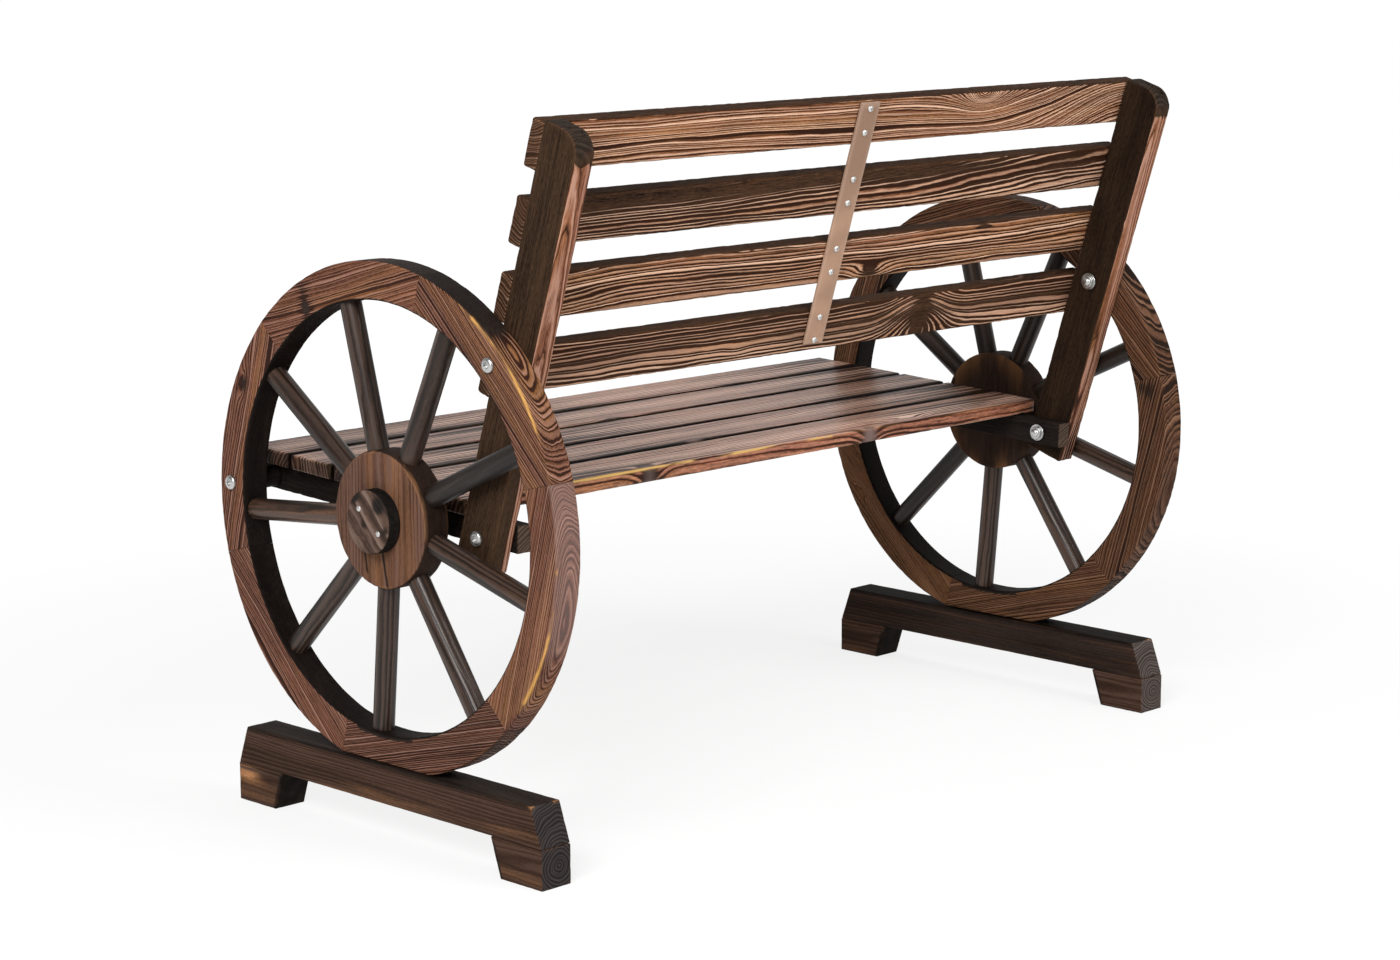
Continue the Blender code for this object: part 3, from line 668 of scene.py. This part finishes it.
hub_wood = charred_wood("hub_wood", (0.104, 0.050, 0.034), (0.19, 0.086, 0.040), (0.14, 0.080, 0.060),
                        (0.048, 0.024, 0.017), (0.026, 0.015, 0.011), (0.06, 0.03, 0.02), ring=0.0045,
                        char=0.0, spread=0.7, soft=0.6, relief=0.0002, bare=0.35, fibre=1.2,
                        edge=(0.30, 0.14, 0.055))
for upper, lower, half in CRACKS:
    split(hub_wood, upper, lower, half)
for side in SIDES:
    node = f"{side}_hub"
    low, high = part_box(node)
    half = RIM_THICKNESS / 2
    boss = half - (high.x - low.x)
    face = hub_radius - HUB_EDGE - BOSS_RADIUS
    arris = eased(hub_radius, HUB_EDGE, 3)
    profile = [(boss, BOSS_RADIUS * 0.8, 0.0), (boss, BOSS_RADIUS - BEVEL, 0.0)]
    profile += [(boss + BEVEL, BOSS_RADIUS, 0.0), (-half - BEVEL, BOSS_RADIUS, 0.0)]
    profile += [(-half, BOSS_RADIUS + BEVEL, 0.0)]
    profile += [(-half, BOSS_RADIUS + face * k / 10, k / 10) for k in range(1, 10)]
    profile += [(-half + back, out, 1.0) for back, out in arris]
    profile += [(-half + HUB_EDGE + (2 * half - 2 * HUB_EDGE) * k / 8, hub_radius, 0.0) for k in range(1, 8)]
    profile += [(half - back, out, 1.0) for back, out in reversed(arris)]
    profile += [(half, (hub_radius - HUB_EDGE) * (1 - k / 14) - 0.002, 0.0) for k in range(0, 14)]
    start = HUB_START[side]
    hub = turned(f"{node}_drum", profile, start, around=90)
    upright = Matrix(((0, 0, 1), (0, 1, 0), (-1, 0, 0)))
    lay_grain(hub, HUB_HEART, start, tone=hub_tone, turn=upright, char=hub_burning_and_shade)
    fit_in(hub, wheel_centre[side], FACING[side], hub_wood, "hub_wood", node)

# Hub caps
# A small turned disc of charred softwood covers the head of each hub bolt, held by two small screws.
CAP_EDGE = 0.003
CAP_SCREWS = ((-0.0131, 0.0129), (0.0170, -0.0099))
CAP_SCREW_RADIUS = 0.0032
SCREW_HEIGHT = 0.0015
SCREW_SINK = 0.0003


def zinc_plating(name, colour, rough):
    """Bright zinc on steel, slightly mottled and brushed by handling."""
    material, tree, shader = blank(name)
    place = tree.nodes.new("ShaderNodeTexCoord").outputs["Object"]
    spots = cloud(tree, place, 900.0, 3.0)
    darker = tuple(0.72 * part for part in colour)
    tree.links.new(tint(tree, spots, darker, colour), shader.inputs["Base Color"])
    tree.links.new(ramp(tree, spots, 0.3, 0.7, rough - 0.08, rough + 0.1), shader.inputs["Roughness"])
    shader.inputs["Metallic"].default_value = 1.0
    emboss(tree, shader, spots, 0.0001, 0.4)
    return material


def pan_screw(name, radius, height):
    """A low domed screw head with a round recess, its flat side at nought."""
    rows = [(0.0, 0.5), (0.0, 1.0), (0.15, 1.0)]
    for part in range(1, 6):
        turn = math.radians(15 * part)
        rows.append((0.15 + 0.85 * math.sin(turn), 0.35 + 0.65 * math.cos(turn)))
    rows += [(1.0, 0.50), (0.30, 0.42), (0.25, 0.1)]
    profile = [(height * up, radius * out, 0) for up, out in rows]
    return turned(name, profile, 0.0, around=28, dent=0.0, chip=0.0)


CAP_SCORCHES = ((0.017, 0.019, 0.009, 1.0), (-0.007, -0.004, 0.006, 0.9), (-0.022, 0.024, 0.008, 1.1),
                (0.004, -0.026, 0.008, 0.5), (0.028, -0.006, 0.006, 0.6), (-0.004, 0.009, 0.003, 0.4))


def cap_burning(point):
    """Scorched patches on the face of a cap, and its side burnt all over."""
    if math.hypot(point.y, point.z) > cap_radius - BEVEL:
        return HUB_SOOT_AND_SHADE
    return sum(deep * math.exp(-((point.y - across) ** 2 + (point.z - up) ** 2) / wide ** 2)
               for across, up, wide, deep in CAP_SCORCHES)


cap_wood = charred_wood("cap_wood", (0.075, 0.045, 0.034), (0.12, 0.07, 0.05), (0.19, 0.130, 0.104),
                        (0.022, 0.015, 0.012), (0.013, 0.011, 0.010), (0.06, 0.04, 0.03), ring=0.0060,
                        char=0.05, spread=1.4, soft=0.6, relief=0.0003, bare=0.15)
zinc = zinc_plating("zinc", (0.66, 0.66, 0.65), 0.38)
screw_zinc = zinc_plating("screw_zinc", (0.80, 0.79, 0.77), 0.45)
for side, wheel_x in SIDES.items():
    node = f"{side}_hub_cap"
    low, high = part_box(node)
    cap_radius = (high.z - low.z) / 2
    thick = high.x - low.x - SCREW_HEIGHT + SCREW_SINK
    profile = [(0.0, cap_radius * 0.8, 0.0), (0.0, cap_radius - BEVEL, 0.0), (BEVEL, cap_radius, 0.2)]
    profile += [((thick - CAP_EDGE) * k / 5, cap_radius, 0.0) for k in range(1, 5)]
    profile += [(thick - back, out, 0.8) for back, out in reversed(eased(cap_radius, CAP_EDGE, 5))]
    profile += [(thick, (cap_radius - CAP_EDGE) * (1 - k / 10), 0.0) for k in range(1, 10)]
    start = 80.0 + 3 * wheel_x
    cap = turned(f"{node}_disc", profile, start, around=80, chip=0.0002)
    slope = Matrix.Rotation(math.radians(48), 3, "Z") @ Matrix(((0, 0, 1), (0, 1, 0), (-1, 0, 0)))
    lay_grain(cap, (0.034, -0.03), start, tone=0.35, turn=slope, char=cap_burning, fine=0.4)
    inner_face = low.x if wheel_x > 0 else high.x
    middle = Vector((inner_face, wheel_centre[side].y, wheel_centre[side].z))
    fit_in(cap, middle, FACING[side], cap_wood, "cap_wood", node)
    for number, (screw_y, screw_z) in enumerate(CAP_SCREWS):
        screw = pan_screw(f"{node}_screw_{number + 1}", CAP_SCREW_RADIUS, SCREW_HEIGHT)
        spot = (inner_face + wheel_x * (thick - SCREW_SINK), middle.y + screw_y, middle.z + screw_z)
        fit_in(screw, spot, FACING[side], screw_zinc, "zinc")

# Back posts
# One bar of charred softwood at each end, its rear top corner rounded.
# It leans back against the inner face of the rim and is bolted to the rim above and to the seat rail below.
POST_EDGE = 0.0025
POST_TOP_ROUND = 0.025
LOW_DARKENING_REACH = 0.04
slat_low, slat_high = [box_middle(f"back_slat_{number}") for number in (4, 1)]
up_the_back = Vector((0, slat_high.y - slat_low.y, slat_high.z - slat_low.z)).normalized()
post_wood = charred_wood("post_wood", (0.19, 0.074, 0.042), (0.24, 0.098, 0.040), (0.44, 0.245, 0.175),
                         (0.030, 0.012, 0.007), (0.040, 0.022, 0.012), (0.034, 0.024, 0.018), ring=0.0030,
                         char=0.12, spread=0.6, soft=0.2, bare=0.4)
# How burnt each side face of a post is; the far post's inner face is darker still, as painted shade.
POST_BURNING_AND_SHADE = {("left", 1): 1.0, ("left", -1): 0.9, ("right", 1): 1.5, ("right", -1): 0.9}
for side, wheel_x in SIDES.items():
    node = f"{side}_back_post"
    turn = axes(up_the_back, (1, 0, 0))
    centre, size = measured(node, turn)

    def rounded(point, size=size):
        past = max(0.0, POST_TOP_ROUND - size.y / 2 - point.y)
        drop = POST_TOP_ROUND - math.sqrt(max(0.0, POST_TOP_ROUND ** 2 - past ** 2))
        return Vector((point.x - drop * (0.5 + point.x / size.x), point.y, point.z))

    def post_burning_and_shade(point, size=size, side=side):
        if abs(point.z) > size.z / 2 - SKIN:
            return POST_BURNING_AND_SHADE[side, 1 if point.z > 0 else -1]
        # The rear face gets darker towards its bottom, on the near post over its outer half.
        below = (-0.06 if side == "left" else 0.07 - size.x / 2) - point.x
        if point.y < DEEP_SKIN - size.y / 2 and below > 0:
            outer_half = min(1.0, max(0.0, (point.z + 0.006) / 0.006))
            return (outer_half if side == "left" else 0.5) * min(1.0, below / LOW_DARKENING_REACH)
        return 0.0 if point.x < size.x / 2 - POST_TOP_ROUND - 0.003 else 0.9

    start = 90.0 + 2 * wheel_x
    post = board(f"{node}_bar", size, POST_EDGE, start, rounded, step=0.006)
    lay_grain(post, (-0.05, 0.008), start, tone=0.4, char=post_burning_and_shade)
    fit_in(post, centre, turn, post_wood, "post_wood", node)

# Seat rails
# A charred bar inside each post, tilted down towards the rear, with the seat slats screwed on it.
# It is bolted to the rim through a round spacer in front, to the hub in the middle and to the post behind.
RAIL_EDGE = 0.0015
RAIL_THICKNESS = 0.020
SPACER_RADIUS = 0.012
SPACER_BEVEL = 0.0008
seat_front, seat_rear = [box_middle(f"seat_slat_{number}") for number in (1, 5)]
along_the_rail = Vector((0, seat_rear.y - seat_front.y, seat_rear.z - seat_front.z)).normalized()
# The rails and spacers are near black: burnt, and painted shade under the seat.
rail_wood = charred_wood("rail_wood", (0.026, 0.018, 0.014), (0.060, 0.032, 0.020), (0.045, 0.031, 0.025),
                         (0.009, 0.006, 0.005), (0.012, 0.0085, 0.007), (0.095, 0.062, 0.044), ring=0.004,
                         char=0.95, spread=0.6, bare=0.2)
for side, wheel_x in SIDES.items():
    node = f"{side}_seat_rail"
    turn = axes(along_the_rail, (0, 0, 1))
    centre, size = measured(node, turn)
    low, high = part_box(node)
    inner_x = low.x if wheel_x > 0 else high.x
    outer_x = high.x if wheel_x > 0 else low.x
    centre.x = inner_x + wheel_x * RAIL_THICKNESS / 2
    start = 100.0 + 2 * wheel_x
    rail = board(f"{node}_bar", (size.x, RAIL_THICKNESS, size.z), RAIL_EDGE, start, step=0.006)
    lay_grain(rail, (0.02, -0.03), start, tone=0.4)
    fit_in(rail, centre, turn, rail_wood, "rail_wood", node)
    long = abs(outer_x - inner_x) - RAIL_THICKNESS
    arris = [(0.0, SPACER_RADIUS * 0.8, 0.0), (0.0, SPACER_RADIUS - SPACER_BEVEL, 0.0)]
    arris += [(SPACER_BEVEL, SPACER_RADIUS, 0.5)]
    profile = arris + [(long * k / 6, SPACER_RADIUS, 0.0) for k in range(1, 6)]
    profile += [(long - back, out, worn) for back, out, worn in reversed(arris)]
    spacer = turned(f"{side}_front_spacer", profile, start, around=40)
    lay_grain(spacer, (0.004, 0.003), start, tone=0.4)
    middle = box_middle(f"{side}_front_bolt")
    middle.x = inner_x + wheel_x * RAIL_THICKNESS
    fit_in(spacer, middle, FACING[side], rail_wood, "rail_wood")

# Seat slats
# Five boards of charred softwood across the rails, sanded and oiled to a satin sheen, screwed from below.
SEAT_EDGE = 0.003
SEAT_SKIN = 0.0008
MARGIN = 0.006
# About this place the seat top is made paler, a painted sheen.
PAINTED_SHEEN_PLACE = -0.10
PAINTED_SHEEN_LENGTH = 0.14
DUSK_PLACE = -0.28
DUSK_LENGTH = 0.12
seat_wood = charred_wood("seat_wood", (0.245, 0.088, 0.050), (0.40, 0.165, 0.060), (0.80, 0.53, 0.405),
                         (0.032, 0.011, 0.006), (0.018, 0.009, 0.006), (0.035, 0.020, 0.014), ring=0.0050,
                         char=0.46, spread=1.8, soft=0.24, relief=0.0002, rough=0.30, shine=0.07, bare=0.6,
                         fibre=2.8, pale=0.25, edge=(0.62, 0.38, 0.13))
SEAT_SLATS = {
    1: dict(tone=0.20),
    2: dict(tone=0.20, knots=[(0.038, 0.024, 0.030, 0.010, 0.010)],
            smudges=[(0.038, 0.024, 0.010, 0.005, 0.5)]),
    3: dict(tone=0.10),
    4: dict(tone=0.15, knots=[(0.055, 0.030, 0.030, 0.010, 0.010)],
            smudges=[(0.055, 0.030, 0.010, 0.005, 0.5)]),
    5: dict(tone=0.25, knots=[(0.199, 0.030, 0.024, 0.008, 0.010), (-0.161, 0.032, 0.021, 0.007, 0.008),
                           (-0.242, 0.020, 0.035, 0.009, 0.009)],
            smudges=[(0.199, 0.036, 0.014, 0.010, 0.9), (-0.161, 0.036, 0.010, 0.008, 0.7),
                     (0.150, 0.036, 0.300, 0.004, -0.3)]),
}
for number in range(1, 6):
    node = f"seat_slat_{number}"
    turn = axes((1, 0, 0), (0, -along_the_rail.z, along_the_rail.y))
    centre, size = measured(node, turn)
    start = 110.0 + 2 * number
    looks = SEAT_SLATS[number]

    # Burnt darker along the edges of the top and bottom faces, and darker towards the far end.
    def seat_char_and_painted_light(point, size=size, number=number):
        if abs(point.y) < size.y / 2 - SEAT_SKIN:
            # Painted sheen: the middle of the seat is made paler.
            shine = 0.60 * math.exp(-((point.x - PAINTED_SHEEN_PLACE) / PAINTED_SHEEN_LENGTH) ** 2)
            dusky = 0.13 * min(1.0, max(0.0, DUSK_PLACE - point.x) / DUSK_LENGTH)
            return 0.9 * max(0.0, 1 - (size.y / 2 - abs(point.y)) / MARGIN) - shine + dusky
        # The side faces inside the gaps between slats are near black, painted shade; the outer faces of the
        # front and rear slats are barely burnt.
        outer = (number == 5 and point.y > 0) or (number == 1 and point.y < 0)
        return 0.12 if outer else 2.0

    def brushed(point, size=size):
        return 1.0 if abs(point.y) < size.y / 2 - SEAT_SKIN else 0.12

    def seat_tone(point, looks=looks):
        grey = [(*knot[:2], 0.018, 0.006, 1.0) for knot in looks.get("knots", ())]
        return looks["tone"] - 1.2 * patched(point.x, point.y, grey)

    def seat_rub(point, number=number):
        if number == 5 and point.y > 0 and point.z > 0:
            return 2.0 if -0.10 < point.x < 0.46 else 0.9
        return 0.75

    slat = board(f"{node}_board", size, SEAT_EDGE, start, chip=0.0008, rub=seat_rub)
    lay_grain(slat, (0.07 if number % 2 else -0.07, -0.03), start, tone=seat_tone, char=seat_char_and_painted_light,
              bright=brushed, knots=looks.get("knots", ()), smudges=looks.get("smudges", ()))
    fit_in(slat, centre, turn, seat_wood, "seat_wood", node)

# Back slats
# Four boards of charred and deeply brushed softwood on the front of the posts, screwed from behind.
BACK_EDGE = 0.0035
back_wood = charred_wood("back_wood", (0.190, 0.070, 0.031), (0.30, 0.128, 0.045), (0.74, 0.475, 0.33),
                         (0.026, 0.009, 0.004), (0.048, 0.023, 0.012), (0.07, 0.035, 0.02), ring=0.0042,
                         char=0.28, spread=0.8, soft=0.12, bare=0.4)
BACK_SLATS = {
    1: dict(heart=(-0.070, -0.030), tone=0.30, char=-0.08, fine=1.5,
            knots=[(-0.200, -0.022, 0.045, 0.020, -0.018), (-0.195, -0.024, 0.018, 0.012, -0.014),
                   (-0.470, 0.0, 0.140, 0.060, 0.050)]),
    2: dict(heart=(-0.036, -0.012), tone=0.15, char=0.32, tilt=-0.05,
            smudges=[(0.300, -0.018, 0.350, 0.012, 0.50), (-0.100, -0.018, 0.150, 0.008, 0.40),
                     (-0.380, -0.010, 0.060, 0.012, 0.35)]),
    3: dict(heart=(0.075, -0.030), tone=0.45, char=0.15, fine=1.1,
            knots=[(-0.070, 0.018, 0.030, 0.010, 0.012), (0.470, 0.0, 0.130, 0.060, 0.010)],
            smudges=[(-0.070, 0.018, 0.014, 0.006, 0.8), (-0.256, -0.0225, 0.012, 0.006, 0.6)]),
    4: dict(heart=(0.070, -0.025), tone=0.25, char=0.36, fine=1.0,
            knots=[(-0.178, 0.0, 0.045, 0.035, -0.030), (0.122, 0.013, 0.020, 0.008, 0.003)],
            smudges=[(-0.180, 0.0, 0.013, 0.030, 0.7)]),
}
for number in range(1, 5):
    node = f"back_slat_{number}"
    turn = axes((1, 0, 0), (0, up_the_back.z, -up_the_back.y))
    centre, size = measured(node, turn)

    def slat_burning(point, size=size, char=BACK_SLATS[number]["char"]):
        return 0.8 if abs(point.y) > size.y / 2 - SKIN else char

    start = 130.0 + 2 * number
    slat = board(f"{node}_board", size, BACK_EDGE, start)
    looks = BACK_SLATS[number]
    lay_grain(slat, looks["heart"], start, tone=looks["tone"], knots=looks.get("knots", ()),
              smudges=looks.get("smudges", ()), char=slat_burning, fine=looks.get("fine", 1.0),
              tilt=looks.get("tilt", 0.0))
    fit_in(slat, centre, turn, back_wood, "back_wood", node)

# Back strap
# A flat steel strap, painted brown, up the back of the four back slats, with two screws into each slat.
STRAP_EDGE = 0.0006
STRAP_SCREW_RADIUS = 0.0038
STRAP_SCREW_HEIGHT = 0.0022
STRAP_SCREW_SPREAD = 0.0275
STRAP_SCREW_RISE = 0.003
RUBBED_PAINT = (0.50, 0.36, 0.28)


def brown_paint(name, colour):
    """Matt brown paint on steel, darker towards the top, with a faint skin and slightly rubbed edges."""
    material, tree, shader = blank(name)
    place = tree.nodes.new("ShaderNodeTexCoord").outputs["Object"]
    blotches = cloud(tree, place, 25.0, 4.0)
    darker = tuple(0.82 * part for part in colour)
    paint = tint(tree, ramp(tree, blotches, 0.35, 0.65), darker, colour)
    height = tree.nodes.new("ShaderNodeSeparateXYZ")
    tree.links.new(place, height.inputs[0])
    dusk = tuple(0.66 * part for part in colour)
    paint = tint(tree, ramp(tree, height.outputs["Z"], 0.63, 0.70), paint, dusk)
    rubbed = calc(tree, "MULTIPLY", kept(tree, "wear"), 0.25)
    tree.links.new(tint(tree, rubbed, paint, RUBBED_PAINT), shader.inputs["Base Color"])
    tree.links.new(ramp(tree, blotches, 0.3, 0.7, 0.5, 0.62), shader.inputs["Roughness"])
    shader.inputs["Specular IOR Level"].default_value = 0.2
    emboss(tree, shader, cloud(tree, place, 700.0), 0.0001, 0.3)
    return material


strap_paint = brown_paint("strap_paint", (0.39, 0.235, 0.155))
turn = axes(up_the_back, (0, up_the_back.z, -up_the_back.y))
centre, size = measured("back_strap", turn)
strap = board("back_strap_steel", size, STRAP_EDGE, 150.0, dent=0.00003, chip=0.0001)
fit_in(strap, centre, turn, strap_paint, "strap_paint", "back_strap")
outwards = Vector((0, up_the_back.z, -up_the_back.y))
screw_turn = axes(outwards, up_the_back)
for number in range(1, 5):
    slat_centre = measured(f"back_slat_{number}", turn)[0]
    for place, above in enumerate((1, -1)):
        up = (slat_centre - centre).dot(up_the_back) + above * STRAP_SCREW_SPREAD / 2 + STRAP_SCREW_RISE
        spot = centre + up_the_back * up + outwards * size.z / 2
        screw = pan_screw(f"strap_screw_{2 * number + place - 1}", STRAP_SCREW_RADIUS, STRAP_SCREW_HEIGHT)
        fit_in(screw, spot, screw_turn, screw_zinc, "zinc")

# Bolts
# Zinc-plated round heads on the outside, and washers with domed nuts on the inside.
# They hold the rim to the rail and to the post, the post to the rail, and the hub to the rail.
HEAD_RADIUS = 0.008
HEAD_HEIGHT = 0.004
WASHER_RADIUS = 0.010
WASHER_THICKNESS = 0.0016
NUT_RADIUS = 0.0072
NUT_HEIGHT = 0.0065
SHANK_RADIUS = 0.004
NUT_DOME = ((0.0, 0.0012), (0.0004, 0.0030), (0.0014, 0.0046), (0.0026, 0.0052), (0.0034, 0.0054))
HEAD_DOME = ((0.0022, 1.0), (0.0009, 0.90), (0.0002, 0.72), (0.0, 0.55))
HEAD_RECESS = ((0.0, 0.0036), (0.0024, 0.0033), (0.0026, 0.0015))
washer_face = NUT_HEIGHT + WASHER_THICKNESS
nut_rows = [*NUT_DOME, (0.0034, NUT_RADIUS - 0.0006), (0.0038, NUT_RADIUS)]
nut_rows += [(NUT_HEIGHT + 0.0008, NUT_RADIUS), (NUT_HEIGHT + 0.0008, NUT_RADIUS + 0.0007)]
nut_rows += [(NUT_HEIGHT + 0.0002, NUT_RADIUS + 0.0009), (NUT_HEIGHT, WASHER_RADIUS - 0.0003)]
nut_rows += [(NUT_HEIGHT + 0.0003, WASHER_RADIUS), (washer_face, WASHER_RADIUS), (washer_face, SHANK_RADIUS)]


def turned_steel(name, rows):
    """A smooth steel piece turned about X, from rows of place and radius."""
    return turned(name, [(x, radius, 0) for x, radius in rows], 160.0, around=36, dent=0.0, chip=0.0)


for side, wheel_x in SIDES.items():
    for bolt in ("front", "upper_post", "lower_post"):
        node = f"{side}_{bolt}_bolt"
        low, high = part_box(node)
        outer = high.x if wheel_x > 0 else low.x
        inner = low.x if wheel_x > 0 else high.x
        long = abs(outer - inner)
        rows = nut_rows + [(long - HEAD_HEIGHT, SHANK_RADIUS), (long - HEAD_HEIGHT, HEAD_RADIUS)]
        rows += [(long - back, HEAD_RADIUS * share) for back, share in HEAD_DOME]
        rows += [(long - back, radius) for back, radius in HEAD_RECESS]
        middle = box_middle(node)
        middle.x = inner
        fit_in(turned_steel(f"{node}_steel", rows), middle, FACING[side], zinc, "zinc", node)
    rail_low, rail_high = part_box(f"{side}_seat_rail")
    middle = wheel_centre[side].copy()
    middle.x = (rail_low.x if wheel_x > 0 else rail_high.x) - wheel_x * washer_face
    fit_in(turned_steel(f"{side}_hub_bolt_nut", nut_rows), middle, FACING[side], zinc, "zinc")

# Floor, light and camera
# A wide white floor and sky, and two large soft lamps with the camera between them, behind the bench.
# The floor shows nearly white, and a little greyer close to the bench, so that its shadow stays faint.
FLOOR_HALF = 120.0
FLOOR_GREY = 0.80
FLOOR_GLOW = 1.06
AMBIENT = 0.45
AWAY_FROM_CAMERA = (-0.71, -0.70, 0.0)
floor_mesh = bpy.data.meshes.new("floor")
corners = [(x * FLOOR_HALF, y * FLOOR_HALF, 0) for x, y in ((-1, -1), (1, -1), (1, 1), (-1, 1))]
floor_mesh.from_pydata(corners, [], [(0, 1, 2, 3)])
floor = bpy.data.objects.new("floor", floor_mesh)
bpy.context.collection.objects.link(floor)
floor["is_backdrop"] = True
floor_white = bpy.data.materials.new("floor_white")
floor_white.use_nodes = True
tree = floor_white.node_tree
tree.nodes.clear()
matt = tree.nodes.new("ShaderNodeBsdfDiffuse")
matt.inputs["Color"].default_value = (FLOOR_GREY, FLOOR_GREY, FLOOR_GREY, 1.0)
glow = tree.nodes.new("ShaderNodeEmission")
seen = tree.nodes.new("ShaderNodeLightPath")
mixed = tree.nodes.new("ShaderNodeMixShader")
spot = tree.nodes.new("ShaderNodeNewGeometry")
reach = vector(tree, "LENGTH", spot.outputs["Position"])["Value"]
bright = ramp(tree, reach, 0.7, 2.0, 0.74, 0.94)
mirrored = calc(tree, "MAXIMUM", seen.outputs["Is Glossy Ray"], seen.outputs["Is Transmission Ray"])
shown = calc(tree, "MAXIMUM", seen.outputs["Is Camera Ray"], mirrored)
tree.links.new(calc(tree, "MULTIPLY", shown, bright), mixed.inputs[0])
glow.inputs["Strength"].default_value = FLOOR_GLOW
tree.links.new(matt.outputs[0], mixed.inputs[1])
tree.links.new(glow.outputs[0], mixed.inputs[2])
finish = tree.nodes.new("ShaderNodeOutputMaterial")
tree.links.new(mixed.outputs[0], finish.inputs["Surface"])
floor_mesh.materials.append(floor_white)

world = bpy.data.worlds.new("white_sky")
bpy.context.scene.world = world
world.use_nodes = True
tree = world.node_tree
sky = tree.nodes["Background"]
sky.inputs["Color"].default_value = (1.0, 1.0, 1.0, 1.0)
seen = tree.nodes.new("ShaderNodeLightPath")
heading = tree.nodes.new("ShaderNodeTexCoord")
facing = vector(tree, "DOT_PRODUCT", heading.outputs["Generated"], AWAY_FROM_CAMERA)["Value"]
backdrop = ramp(tree, facing, 0.0, 0.75, 0.12, 0.85)
change = calc(tree, "SUBTRACT", backdrop, AMBIENT)
ambient = calc(tree, "MULTIPLY_ADD", seen.outputs["Is Glossy Ray"], change, AMBIENT)
direct = calc(tree, "MAXIMUM", seen.outputs["Is Camera Ray"], seen.outputs["Is Transmission Ray"])
tree.links.new(calc(tree, "MAXIMUM", direct, ambient), sky.inputs["Strength"])


def soft_lamp(name, place, target, width, power):
    """A square studio lamp with a soft box, aimed at a point."""
    lamp = bpy.data.lights.new(name, "AREA")
    lamp.size = width
    lamp.energy = power
    item = bpy.data.objects.new(name, lamp)
    item.location = place
    item.rotation_euler = (Vector(target) - Vector(place)).to_track_quat("-Z", "Y").to_euler()
    bpy.context.collection.objects.link(item)


soft_lamp("key_lamp", (3.2, 1.6, 2.6), (0.2, 0.1, 0.4), 1.6, 130.0)
soft_lamp("rear_lamp", (-0.6, 3.2, 2.4), (-0.2, 0.1, 0.5), 1.6, 70.0)

CAMERA_TURN = math.radians(134.5543)
CAMERA_RISE = math.radians(10.2941)
CAMERA_ROLL = math.radians(-0.1779)
CAMERA_PLACE = (2.6116, 2.5373, 0.9819)
CAMERA_LENS = 82.744
level = math.cos(CAMERA_RISE)
backwards = Vector((math.sin(CAMERA_TURN) * level, -math.cos(CAMERA_TURN) * level, math.sin(CAMERA_RISE)))
lens = bpy.data.cameras.new("camera")
lens.lens = CAMERA_LENS
lens.sensor_width = 36.0
lens.clip_end = 500.0
camera = bpy.data.objects.new("camera", lens)
camera.location = CAMERA_PLACE
camera.rotation_mode = "QUATERNION"
roll = Matrix.Rotation(CAMERA_ROLL, 3, "Z").to_quaternion()
camera.rotation_quaternion = (-backwards).to_track_quat("-Z", "Y") @ roll
bpy.context.collection.objects.link(camera)
bpy.context.scene.camera = camera
bpy.context.scene.view_settings.view_transform = "Standard"

low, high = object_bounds()
